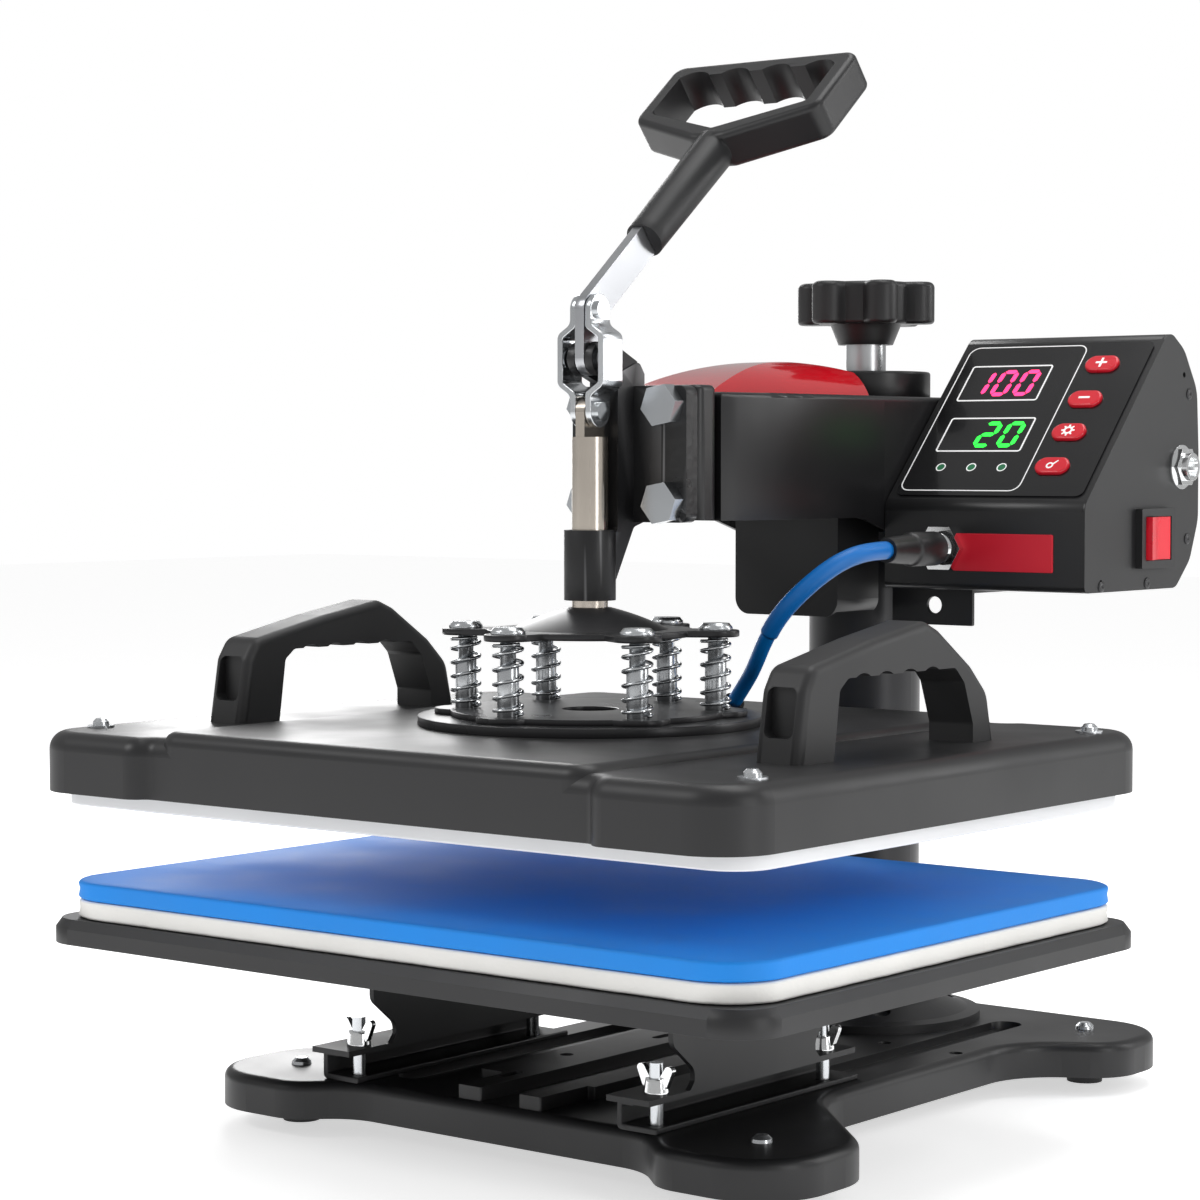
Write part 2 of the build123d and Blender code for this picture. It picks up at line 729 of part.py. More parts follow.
def quarter_arcs(start, start_way, end, end_way):
    """Two tangent arcs that join two points and their directions."""
    chord = end - start
    ways = start_way + end_way
    a = 2 * (start_way.dot(end_way) - 1)
    b = -2 * chord.dot(ways)
    c = chord.dot(chord)
    reach = (-b - math.sqrt(b * b - 4 * a * c)) / (2 * a)
    near = start + start_way * reach
    far = end - end_way * reach
    middle = (near + far) * 0.5
    TangentArc(start, middle, tangent=start_way)
    TangentArc(middle, end, tangent=(far - near).normalized())


quarters = 4 * spring_turns
with BuildPart() as springs:
    for x, y in post_places:
        with BuildLine() as wire:
            for k in range(quarters):
                start, start_way = wire_point(x, y, k / 4)
                end, end_way = wire_point(x, y, (k + 1) / 4)
                quarter_arcs(start, start_way, end, end_way)
        with BuildSketch(Plane(wire.line @ 0, z_dir=wire.line % 0)) as wire_round:
            Circle(wire_radius)
        sweep(wire_round.sketch, path=wire.line)
samples = [wire_point(0, 0, k / 64)[0] for k in range(64 * spring_turns + 1)]
wire_gap = min((p - q).length for i, p in enumerate(samples) for q in samples[i + 40:]) - 2 * wire_radius
print("spring wire gap", round(wire_gap, 2))
springs.part.label = "springs"
export_step(springs.part, "parts/springs.step")

with BuildPart() as spider_plate:
    with BuildSketch(level(spider_bottom)):
        Circle(46)
        with PolarLocations(post_circle - 10, post_count, start_angle=post_angle):
            SlotOverall(41, 21)
        with Locations(*post_places):
            Circle(spider_hole, mode=Mode.SUBTRACT)
    extrude(amount=spider_thick)
    with BuildSketch(Plane((0, press_y, 0), x_dir=(1, 0, 0), z_dir=(0, -1, 0))):
        with BuildLine():
            Line((0, spider_top), (35, spider_top))
            ThreePointArc((35, spider_top), (22, spider_top + 5.6), (9.5, dome_top))
            Line((9.5, dome_top), (0, dome_top))
            Line((0, dome_top), (0, spider_top))
        make_face()
    revolve(axis=Axis((0, press_y, 0), (0, 0, 1)))
    tube(0, 0, spider_bottom, dome_top, 5 + run_gap, mode=Mode.SUBTRACT)
spider_plate.part.label = "spider_plate"
export_step(spider_plate.part, "parts/spider_plate.step")

# plunger with a flat tang for the links
shoulder_z = lower_pin_z - 11.0
with BuildPart() as plunger:
    tube(0, 0, dome_top, shoulder_z, plunger_radius)
    tube(0, 0, spider_bottom + 0.5, dome_top, 5)
    with BuildSketch(across(-tang_half)):
        with Locations((0, (shoulder_z + lower_pin_z) / 2)):
            Rectangle(tang_width, lower_pin_z - shoulder_z)
        with Locations((0, lower_pin_z)):
            Circle(tang_width / 2)
    extrude(amount=2 * tang_half)
plunger.part.label = "plunger"
export_step(plunger.part, "parts/plunger.step")

# toggle bracket: guide sleeve, web, bolting flange and pivot ears in one casting
with BuildPart() as toggle_bracket:
    web_side = [(6, 245), (6, 268), (web_front, 272), (web_front, 338), (13, 342), (25, 346.5), (29, 341)]
    web_side += [(29, 275), (21.4, 272.8)]
    slab(across(-web_half), web_side, [0, 0, 2, 3, 3, 3, 0, 0, 3], 2 * web_half)
    with BuildSketch(facing(toggle_flange_y)):
        with Locations(((toggle_flange_right - toggle_flange_left) / 2, 305.2)):
            RectangleRounded(toggle_flange_left + toggle_flange_right, 60.5, 4)
    extrude(amount=-toggle_flange_thick)
    tube(0, 0, guide_bottom, guide_top, guide_radius)
    ear_side = [(9, pivot_z + 6.5), (25, 346.5), (25, 336), (12, 336), (2, pivot_z - ear_radius)]
    ear_side += [(0, pivot_z + ear_radius)]
    for left_face in (-ear_outer, ear_inner):
        slab(across(left_face), ear_side, [2, 0, 0, 2, 0, 0], ear_outer - ear_inner)
        cross_bar(across(left_face), (0, pivot_z), ear_radius, ear_outer - ear_inner)
    cross_bar(across(-ear_outer), (0, pivot_z), pin_radius + run_gap, 2 * ear_outer, mode=Mode.SUBTRACT)
    tube(0, 0, guide_bottom, guide_top + 1, bush_radius + run_gap, mode=Mode.SUBTRACT)
    with BuildSketch(facing(toggle_flange_y)):
        with Locations(*bolt_places):
            Circle(bolt_radius + screw_gap)
    extrude(amount=-toggle_flange_thick, mode=Mode.SUBTRACT)
toggle_bracket.part.label = "toggle_bracket"
export_step(toggle_bracket.part, "parts/toggle_bracket.step")

with BuildPart() as bracket_fasteners:
    for x, flats in bolt_columns:
        for z in bolt_heights:
            with BuildSketch(facing(toggle_flange_y)):
                with Locations((x, z)):
                    RegularPolygon(flats / 2, 6, major_radius=False, rotation=10)
            extrude(amount=7)
            cross_bar(facing(toggle_flange_y), (x, z), bolt_radius, -21)
    cross_bar(across(-ear_outer), (0, pivot_z), pin_radius, 2 * ear_outer)
    cross_bar(across(-ear_outer - 2.2), (0, pivot_z), rivet_radius, 2.2)
    cross_bar(across(ear_outer), (0, pivot_z), rivet_radius, 2.2)
bracket_fasteners.part.label = "bracket_fasteners"
export_step(bracket_fasteners.part, "parts/bracket_fasteners.step")

with BuildPart() as guide_bush:
    tube(0, 0, guide_bottom + 1, guide_top - 1, bush_radius, bore=plunger_radius + run_gap)
guide_bush.part.label = "guide_bush"
export_step(guide_bush.part, "parts/guide_bush.step")

# pair of bent link plates with their rivets
link_outer = link_inner + link_thick
with BuildPart() as toggle_links:
    for side in (-1, 1):
        inner_line = [(link_inner, upper_pin_z + 7), (link_inner, upper_pin_z - 8)]
        inner_line += [(link_bulge, upper_pin_z - 12.5), (link_bulge, lower_pin_z + 13)]
        inner_line += [(link_inner, lower_pin_z + 8.5), (link_inner, lower_pin_z - 7)]
        outer_line = [(link_outer, lower_pin_z - 7), (link_outer, lower_pin_z + 7)]
        outer_line += [(link_bulge + link_thick, lower_pin_z + 11.5)]
        outer_line += [(link_bulge + link_thick, upper_pin_z - 11)]
        outer_line += [(link_outer, upper_pin_z - 6.5), (link_outer, upper_pin_z + 7)]
        link_points = [(side * x, z) for x, z in inner_line + outer_line]
        slab(facing(link_width / 2), link_points, [0, 2, 2, 2, 2, 0, 0, 4, 4, 4, 4, 0], link_width)
    with BuildSketch(across(-20)):
        with Locations((0, (upper_pin_z + lower_pin_z) / 2)):
            SlotOverall(link_length + link_width, link_width, rotation=90)
    extrude(amount=40, mode=Mode.INTERSECT)
    for z in (upper_pin_z, lower_pin_z):
        cross_bar(across(-20), (0, z), pin_radius + run_gap, 40, mode=Mode.SUBTRACT)
toggle_links.part.label = "toggle_links"
export_step(toggle_links.part, "parts/toggle_links.step")

with BuildPart() as link_rivets:
    cross_bar(across(-link_outer), (0, upper_pin_z), pin_radius, 2 * link_outer)
    for side in (-1, 1):
        cross_bar(across(min(side * link_inner, side * link_outer)), (0, lower_pin_z), pin_radius, link_thick)
        for z in (upper_pin_z, lower_pin_z):
            cross_bar(across(min(side * link_outer, side * (link_outer + 2))), (0, z), link_head, 2)
link_rivets.part.label = "link_rivets"
export_step(link_rivets.part, "parts/link_rivets.step")

# lever: flat bar from the fixed pivot past the link pin, leaning back to the grip
lean = math.radians(lever_lean)
along = Vector(0, math.sin(lean), math.cos(lean))
lever_plane = Plane((0, press_y, upper_pin_z), x_dir=(1, 0, 0), z_dir=(0, -math.cos(lean), math.sin(lean)))
bar_end = sleeve_end + 4
with BuildPart() as lever_bar:
    with BuildSketch(across(-lever_thick / 2)):
        with Locations((0, (pivot_z + upper_pin_z) / 2)):
            SlotCenterToCenter(crank, lever_width, rotation=90)
        with Locations((bar_end / 2 * math.sin(lean), upper_pin_z + bar_end / 2 * math.cos(lean))):
            SlotCenterToCenter(bar_end, lever_width, rotation=90 - lever_lean)
        with Locations((0, pivot_z), (0, upper_pin_z)):
            Circle(pin_radius + run_gap, mode=Mode.SUBTRACT)
    extrude(amount=lever_thick)
lever_bar.part.label = "lever_bar"
export_step(lever_bar.part, "parts/lever_bar.step")

with BuildPart() as lever_grip:
    stirrup = [(-grip_half, grip_top), (-grip_half, 136.5), (-9, 118)]
    stirrup += [(9, 118), (grip_half, 136.5), (grip_half, grip_top)]
    slab(lever_plane.offset(-grip_thick / 2), stirrup, [7, 8, 6, 6, 8, 7], grip_thick)
    faces = lever_grip.faces().sort_by(Axis((0, 0, 0), lever_plane.z_dir))
    fillet(faces[0].edges() + faces[-1].edges(), 3.0)
    window = [(-45, 171), (-45, 141), (0, 124.4), (45, 141), (45, 171)]
    slab(lever_plane.offset(-grip_thick / 2), window, [4, 4, 3, 4, 4], grip_thick, mode=Mode.SUBTRACT)
    with BuildSketch(lever_plane.offset(-grip_thick / 2)) as finger_grooves:
        with Locations((-36, 163), (-12.5, 163), (11.5, 163), (36, 163)):
            Circle(11.5)
        with Locations((0, 158)):
            Rectangle(90, 34, mode=Mode.INTERSECT)
    extrude(amount=grip_thick, mode=Mode.SUBTRACT)
    with BuildSketch(lever_plane) as sleeve_half:
        with BuildLine():
            Polyline((0, sleeve_start), (9, sleeve_start), (10, sleeve_end), (0, sleeve_end), close=True)
        make_face()
    revolve(sleeve_half.sketch, axis=Axis((0, press_y, upper_pin_z), along))
    with BuildSketch(lever_plane.offset(-lever_width / 2 - screw_gap)) as bar_slot:
        with Locations((0, (sleeve_start + bar_end) / 2)):
            Rectangle(lever_thick + 2 * screw_gap, bar_end - sleeve_start + lever_width + 1)
    extrude(bar_slot.sketch, amount=lever_width + 2 * screw_gap, mode=Mode.SUBTRACT)
lever_grip.part.label = "lever_grip"
export_step(lever_grip.part, "parts/lever_grip.step")

# arm frame: end block, beam and hub in one casting
beam_bottom = 282.0
beam_top = 325.0
hub_outer = 42.0
with BuildPart() as arm_frame:
    with BuildSketch(level(nose_bottom)):
        with Locations(((nose_half - nose_left) / 2, (toggle_flange_y + toggle_flange_thick + nose_y) / 2)):
            RectangleRounded(nose_left + nose_half, nose_y - toggle_flange_y - toggle_flange_thick, 5)
    extrude(amount=nose_top - nose_bottom)
    fillet(arm_frame.edges().group_by(Axis.Z)[-1], 2.5)
    with BuildSketch(level(beam_bottom)):
        with Locations((0, (nose_y + column_back) / 2)):
            Rectangle(2 * core_half, column_back - nose_y)
    extrude(amount=beam_top - beam_bottom)
    tube(0, column_back, hub_bottom, beam_top, hub_outer)
    with BuildSketch(level(beam_bottom)):
        with Locations((0, 114)):
            RectangleRounded(2 * core_half - 12, 106, 6)
    extrude(amount=beam_top - beam_bottom - 6, mode=Mode.SUBTRACT)
    tube(0, column_back, hub_bottom, beam_top + 1, bush_outer + run_gap, mode=Mode.SUBTRACT)
    for side in (-1, 1):
        with BuildSketch(level(hub_bottom)):
            with Locations((side * (bracket_inner + 10), column_back)):
                Rectangle(20, 60)
        extrude(amount=beam_top - hub_bottom, mode=Mode.SUBTRACT)
    for x, z in bolt_places:
        cross_bar(facing(nose_y - 1), (x, z), bolt_radius + screw_gap, 20, mode=Mode.SUBTRACT)
arm_frame.part.label = "arm_frame"
export_step(arm_frame.part, "parts/arm_frame.step")

# moulded cover of the arm, open below
cover_front = nose_y + seam
cover_rear = column_back + hub_radius


def arm_line():
    """The outline of the arm from above, on the current line."""
    Line((-nose_half, cover_front), (nose_half, cover_front))
    ThreePointArc((nose_half, cover_front), (45, 104), (hub_radius, 165))
    Line((hub_radius, 165), (hub_radius, column_back))
    ThreePointArc((hub_radius, column_back), (0, cover_rear), (-hub_radius, column_back))
    Line((-hub_radius, column_back), (-hub_radius, 165))
    ThreePointArc((-hub_radius, 165), (-45, 104), (-nose_half, cover_front))


with BuildPart() as arm_cover:
    with BuildSketch(level(arm_rear_bottom)):
        with BuildLine():
            arm_line()
        make_face()
    extrude(amount=arm_top - arm_rear_bottom)
    fillet(arm_cover.edges().group_by(Axis.Z)[-1], 2.5)
    with BuildSketch(level(arm_rear_bottom)) as arm_inside:
        with BuildLine():
            arm_line()
        make_face()
        offset(amount=-arm_wall, mode=Mode.REPLACE)
    extrude(arm_inside.sketch, amount=arm_top - arm_wall - arm_rear_bottom, mode=Mode.SUBTRACT)
    under = [(30, 250), (30, arm_bottom), (146, arm_bottom), (176, arm_rear_bottom), (176, 250)]
    slab(across(-60), under, [0, 0, 30, 6, 0], 120, mode=Mode.SUBTRACT)
    with BuildSketch(facing(cover_front + 6)):
        with Locations((0, (beam_bottom + beam_top) / 2)):
            RectangleRounded(2 * core_half + 3, beam_top - beam_bottom + 3, 2)
    extrude(amount=8, mode=Mode.SUBTRACT)
    tube(0, column_back, arm_top - arm_wall, arm_top, spindle_radius + 1, mode=Mode.SUBTRACT)
arm_cover.part.label = "arm_cover"
export_step(arm_cover.part, "parts/arm_cover.step")

# glossy dome let into the top of the cover, and the cap round the height screw
dome_middle = (dome_front + dome_back) / 2
with BuildPart() as arm_dome:
    with BuildSketch(across(-dome_half)):
        with BuildLine():
            Line((dome_front, arm_top), (dome_back, arm_top))
            Line((dome_back, arm_top), (dome_back, arm_top + 12))
            ThreePointArc((dome_back, arm_top + 12), (134, arm_top + dome_height), (dome_front, arm_top))
        make_face()
    extrude(amount=2 * dome_half)
    with BuildSketch(facing(dome_back)):
        with BuildLine():
            Line((-dome_half, arm_top), (dome_half, arm_top))
            ThreePointArc((dome_half, arm_top), (0, arm_top + dome_height + 1), (-dome_half, arm_top))
        make_face()
    extrude(amount=dome_back - dome_front, mode=Mode.INTERSECT)
    tube(0, column_back, arm_top, arm_top + cap_height + 5, cap_radius + soft_gap, mode=Mode.SUBTRACT)
arm_dome.part.label = "arm_dome"
export_step(arm_dome.part, "parts/arm_dome.step")

with BuildPart() as head_cap:
    tube(0, column_back, arm_top, arm_top + cap_height, cap_radius)
    fillet(head_cap.edges().group_by(Axis.Z)[-1], 1.5)
    tube(0, column_back, arm_top, arm_top + cap_height, spindle_radius + 1, mode=Mode.SUBTRACT)
head_cap.part.label = "head_cap"
export_step(head_cap.part, "parts/head_cap.step")

with BuildPart() as column_guard:
    with BuildSketch(level(guard_bottom)):
        with Locations((0, (guard_front + guard_back) / 2)):
            Rectangle(2 * guard_half, guard_back - guard_front)
        with Locations((0, (guard_front + guard_back) / 2 + sheet)):
            Rectangle(2 * (guard_half - sheet), guard_back - guard_front, mode=Mode.SUBTRACT)
    extrude(amount=beam_bottom - guard_bottom)
    corner = column_guard.edges().group_by(Axis.Z)[0].filter_by(Axis.Y).group_by(Axis.X)
    fillet([corner[0], corner[-1]], 8)
column_guard.part.label = "column_guard"
export_step(column_guard.part, "parts/column_guard.step")

# bracket that carries the control box
with BuildPart() as box_bracket:
    bracket_middle = (bracket_inner + bracket_outer) / 2
    with BuildSketch(level(box_bottom - sheet)):
        with Locations((bracket_middle, 212.5)):
            Rectangle(bracket_outer - bracket_inner, 55)
    extrude(amount=sheet)
    with BuildSketch(level(box_bottom - sheet)):
        with Locations((bracket_inner + sheet / 2, 212.5)):
            Rectangle(sheet, 34)
    extrude(amount=58 + sheet)
    with BuildSketch(level(box_bottom - 18)):
        with Locations((bracket_middle, bracket_front + sheet / 2)):
            Rectangle(bracket_outer - bracket_inner, sheet)
    extrude(amount=18)
    cross_bar(facing(bracket_front + sheet), (61.7, box_bottom - 8.5), 4, sheet, mode=Mode.SUBTRACT)
box_bracket.part.label = "box_bracket"
export_step(box_bracket.part, "parts/box_bracket.step")

# control box: shell with its sloping front, and the side plate
box_outline = [(box_front, box_bottom), (box_front, crease_z), slope_top, (258, 355), (271, 336)]
box_outline += [(273, 307), (273, 274), (265, 255), (251, box_bottom)]
box_radii = [3, 8, 8, 18, 18, 18, 18, 14, 8]
slope_rise = math.atan2(slope_top[1] - crease_z, slope_top[0] - box_front)
slope = Plane((box_left, press_y + box_front, crease_z), x_dir=(1, 0, 0),
              z_dir=(0, -math.sin(slope_rise), math.cos(slope_rise)))
shell_right = box_right - box_wall
side_screws = [(262.5, 265), (223, 246.5), (180, 246.5), (258, 343)]
inlet_x = 100.0
inlet_z = 290.5
window_gap = 0.4
with BuildPart() as box_shell:
    slab(across(box_left), box_outline, box_radii, shell_right - box_left)
    with BuildSketch(across(box_left + box_wall)) as box_inside:
        with BuildLine():
            FilletPolyline(*box_outline, radius=box_radii, close=True)
        make_face()
        offset(amount=-box_wall, mode=Mode.REPLACE)
    extrude(box_inside.sketch, amount=shell_right - box_left, mode=Mode.SUBTRACT)
    with BuildSketch(across(shell_right - 8)) as tabs:
        with Locations(*side_screws):
            Circle(6)
        with BuildLine():
            FilletPolyline(*box_outline, radius=box_radii, close=True)
        make_face(mode=Mode.INTERSECT)
        with Locations(*side_screws):
            Circle(1.3, mode=Mode.SUBTRACT)
    extrude(tabs.sketch, amount=8)
    with BuildSketch(slope.offset(-box_wall - 1)) as cut_outs:
        for p0, p1, q0, q1 in window_spans:
            with Locations(((p0 + p1) / 2, (q0 + q1) / 2)):
                Rectangle(p1 - p0 + 2 * window_gap, q1 - q0 + 2 * window_gap)
        with Locations(*[(button_p, q) for q in button_q]):
            SlotOverall(button_size[0] + 2 * window_gap, button_size[1] + 2 * window_gap)
        with Locations(*[(p, led_q) for p in led_p]):
            Circle(2 + window_gap)
    extrude(cut_outs.sketch, amount=box_wall + 2, mode=Mode.SUBTRACT)
    with BuildSketch(facing(275)) as inlet_cut:
        with Locations((inlet_x, inlet_z)):
            Rectangle(28, 22)
    extrude(inlet_cut.sketch, amount=6, mode=Mode.SUBTRACT)
    cross_bar(facing(box_front + 3), (plug_x, plug_z), 7.2, 5, mode=Mode.SUBTRACT)
box_shell.part.label = "box_shell"
export_step(box_shell.part, "parts/box_shell.step")

with BuildPart() as box_side:
    slab(across(shell_right), box_outline, box_radii, box_wall)
    for place in side_screws:
        cross_bar(across(shell_right), place, 1.3, box_wall, mode=Mode.SUBTRACT)
    cross_bar(across(shell_right), (socket_y, socket_z), 6.8, box_wall, mode=Mode.SUBTRACT)
    with BuildSketch(across(shell_right)):
        with Locations((switch_y, switch_z)):
            Rectangle(switch_size[0] - 4, switch_size[1] - 4)
    extrude(amount=box_wall, mode=Mode.SUBTRACT)
box_side.part.label = "box_side"
export_step(box_side.part, "parts/box_side.step")

with BuildPart() as display_panel:
    with BuildSketch(slope):
        with Locations((54, 55)):
            RectangleRounded(101, 100, 4)
        for p0, p1, q0, q1 in window_spans:
            with Locations(((p0 + p1) / 2, (q0 + q1) / 2)):
                Rectangle(p1 - p0 + 2 * screw_gap, q1 - q0 + 2 * screw_gap, mode=Mode.SUBTRACT)
        with Locations(*[(button_p, q) for q in button_q]):
            SlotOverall(button_size[0] + 2 * screw_gap, button_size[1] + 2 * screw_gap, mode=Mode.SUBTRACT)
        with Locations(*[(p, led_q) for p in led_p]):
            Circle(2 + screw_gap, mode=Mode.SUBTRACT)
    extrude(amount=panel_thick)
display_panel.part.label = "display_panel"
export_step(display_panel.part, "parts/display_panel.step")

board_top = -8.4
with BuildPart() as circuit_board:
    with BuildSketch(slope.offset(board_top - 1.6)):
        with Locations((54, 55)):
            Rectangle(98, 94)
    extrude(amount=1.6)
    with BuildSketch(slope.offset(board_top)):
        with Locations((9, 12), (99, 12), (9, 98), (99, 98)):
            Circle(3)
    extrude(amount=-board_top - box_wall)
    with BuildSketch(slope.offset(board_top)):
        with Locations(*[(button_p, q) for q in button_q]):
            Rectangle(6, 6)
    extrude(amount=4.1)
    with BuildSketch(slope.offset(board_top)):
        for p0, p1, q0, q1 in window_spans:
            with Locations(((p0 + p1) / 2, (q0 + q1) / 2)):
                Rectangle(p1 - p0, q1 - q0)
        with Locations(*[(p, led_q) for p in led_p]):
            Circle(2)
    extrude(amount=panel_thick - board_top)
circuit_board.part.label = "circuit_board"
export_step(circuit_board.part, "parts/circuit_board.step")

for name, q in zip(button_names, button_q):
    with BuildPart() as button:
        with BuildSketch(slope.offset(-3.2)):
            with Locations((button_p, q)):
                SlotOverall(button_size[0], button_size[1])
        extrude(amount=3.2 + panel_thick + button_rise)
        fillet(button.faces().sort_by(Axis((0, 0, 0), slope.z_dir))[-1].edges(), 1.0)
        with BuildSketch(slope.offset(-3.2)):
            with Locations((button_p, q)):
                SlotOverall(button_size[0] + 2, button_size[1] + 2)
        extrude(amount=1.4)
    button.part.label = f"button_{name}"
    export_step(button.part, f"parts/button_{name}.step")

# rocker switch in its bezel
rocker_x = box_right - 2.3
rocker_half = 11.2
rocker_tilt = 7.0
bezel_rise = 3.5
trunnion = 1.5
with BuildPart() as switch_bezel:
    with BuildSketch(across(box_right)):
        with Locations((switch_y, switch_z)):
            RectangleRounded(switch_size[0], switch_size[1], 1)
    extrude(amount=bezel_rise)
    with BuildSketch(across(box_right - 15)):
        with Locations((switch_y, switch_z)):
            Rectangle(switch_size[0] - 4.4, switch_size[1] - 4.4)
    extrude(amount=15)
    with BuildSketch(across(box_right - 9)):
        with Locations((switch_y, switch_z)):
            Rectangle(2 * rocker_half + 2.2, rocker_size[1] + 0.6)
    extrude(amount=9 + bezel_rise, mode=Mode.SUBTRACT)
    with BuildSketch(Plane((rocker_x, press_y + switch_y, switch_z - rocker_size[1] / 2 - 1.3))) as pin_bore:
        Circle(trunnion + run_gap)
    extrude(pin_bore.sketch, amount=rocker_size[1] + 2.6, mode=Mode.SUBTRACT)
switch_bezel.part.label = "switch_bezel"
export_step(switch_bezel.part, "parts/switch_bezel.step")

rocker_low = Plane((rocker_x, press_y + switch_y, switch_z - rocker_size[1] / 2))
with BuildPart() as power_rocker:
    with BuildSketch(rocker_low.rotated((0, 0, rocker_tilt))):
        with BuildLine():
            Polyline((-4, -rocker_half), (6.8, -rocker_half), (5.2, 0), (6.8, rocker_half),
                     (-4, rocker_half), close=True)
        make_face()
    extrude(amount=rocker_size[1])
    with BuildSketch(rocker_low.offset(-1.1)):
        Circle(trunnion)
    extrude(amount=rocker_size[1] + 2.2)
power_rocker.part.label = "power_rocker"
export_step(power_rocker.part, "parts/power_rocker.step")

# sockets on the box, mains inlet and the cable plug
with BuildPart() as panel_sockets:
    cross_bar(across(box_right - 16), (socket_y, socket_z), 6.6, 23)
    cross_bar(across(box_right), (socket_y, socket_z), 10.5, 1.3)
    with BuildSketch(across(box_right)):
        with Locations((socket_y, socket_z)):
            RegularPolygon(8.5, 6, major_radius=False)
    extrude(amount=4)
    cross_bar(across(box_right - 5), (socket_y, socket_z), 4.8, 12, mode=Mode.SUBTRACT)
    with BuildSketch(facing(box_front)):
        with Locations((plug_x, plug_z)):
            RegularPolygon(10, 6, major_radius=False)
    extrude(amount=4)
    cross_bar(facing(box_front + 20), (plug_x, plug_z), 7, 28)
panel_sockets.part.label = "panel_sockets"
export_step(panel_sockets.part, "parts/panel_sockets.step")

plug_front = box_front - plug_length
with BuildPart() as cable_plug:
    with BuildSketch(Plane((plug_x, press_y, plug_z), x_dir=(1, 0, 0), z_dir=(0, 0, 1))) as plug_half:
        with BuildLine():
            Polyline((0, box_front - 8), (plug_radius, box_front - 8), (plug_radius, box_front - 28),
                     (plug_radius - 1, box_front - 30), (plug_radius - 1.5, plug_front + 10),
                     (cable_radius + 2.2, plug_front), (0, plug_front), close=True)
        make_face()
    revolve(plug_half.sketch, axis=Axis((plug_x, press_y, plug_z), (0, 1, 0)))
cable_plug.part.label = "cable_plug"
export_step(cable_plug.part, "parts/cable_plug.step")

with BuildPart() as mains_inlet:
    with BuildSketch(facing(275)):
        with Locations((inlet_x, inlet_z)):
            RectangleRounded(34, 27, 3)
    extrude(amount=2)
    with BuildSketch(facing(273)):
        with Locations((inlet_x, inlet_z)):
            Rectangle(27, 21)
    extrude(amount=20)
    with BuildSketch(facing(275)):
        with Locations((inlet_x, inlet_z)):
            RectangleRounded(24, 16.5, 2)
    extrude(amount=17, mode=Mode.SUBTRACT)
    with BuildSketch(facing(270)):
        with Locations((inlet_x - 7, inlet_z - 1), (inlet_x, inlet_z + 3), (inlet_x + 7, inlet_z - 1)):
            Rectangle(2, 4)
    extrude(amount=14)
mains_inlet.part.label = "mains_inlet"
export_step(mains_inlet.part, "parts/mains_inlet.step")

# cable from the plug down to its gland behind the spring unit
gland_top = plateau_top + gland_height
cable_route = [(plug_x, plug_front, plug_z), (plug_x, 100.1, plug_z), (73.9, 84.9, 256.3)]
cable_route += [(65.3, 74.4, 246.2), (54.4, 69.7, 234.2), (43.6, 72.5, 221.5), (33.3, 79.7, 210.2)]
cable_route += [(22.2, 89.1, 201.7), (gland_x + 1.5, gland_y + 1.0, gland_top)]
route = [Vector(x, press_y + y, z) for x, y, z in cable_route]
gland_way = (route[-1] - route[-2]).normalized()
with BuildPart() as cable_gland:
    tube(gland_x, gland_y, plateau_top, plateau_top + 1.4, 7.5)
    with BuildSketch(Plane(route[-1] + gland_way * run_gap, z_dir=gland_way)) as barrel:
        Circle(cable_radius + 1.5)
    extrude(barrel.sketch, amount=9)
    with BuildSketch(level(plateau_top - 12)) as below:
        with Locations((gland_x, gland_y)):
            Rectangle(40, 40)
    extrude(below.sketch, amount=12, mode=Mode.SUBTRACT)
cable_gland.part.label = "cable_gland"
export_step(cable_gland.part, "parts/cable_gland.step")

bend_radii = []
for before, here, after in zip(route, route[1:], route[2:]):
    shorter = min((here - before).length, (after - here).length)
    turn = math.radians((here - before).get_angle(after - here))
    bend_radii.append(0.45 * shorter / math.tan(turn / 2))
print("cable radii", [round(r, 1) for r in bend_radii])
with BuildPart() as blue_cable:
    with BuildLine() as cable_line:
        FilletPolyline(*route, radius=bend_radii)
    with BuildSketch(Plane(cable_line.line @ 0, z_dir=cable_line.line % 0)):
        Circle(cable_radius)
    sweep()
cable_run = sum(edge.length for edge in cable_line.line.edges())
cable_ratio = blue_cable.part.volume / (math.pi * cable_radius ** 2 * cable_run)
print("cable length", round(cable_run, 1), "volume over section times length", round(cable_ratio, 4))
blue_cable.part.label = "blue_cable"
export_step(blue_cable.part, "parts/blue_cable.step")
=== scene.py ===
"""Looks of a flat heat press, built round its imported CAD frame.

The row frame is in metres: x to the right, y to the back, z up. The pressing
axis stands at PRESS_Y, and most places below are counted from it.
"""

import json
import logging
import math
from dataclasses import dataclass, field
from enum import Enum

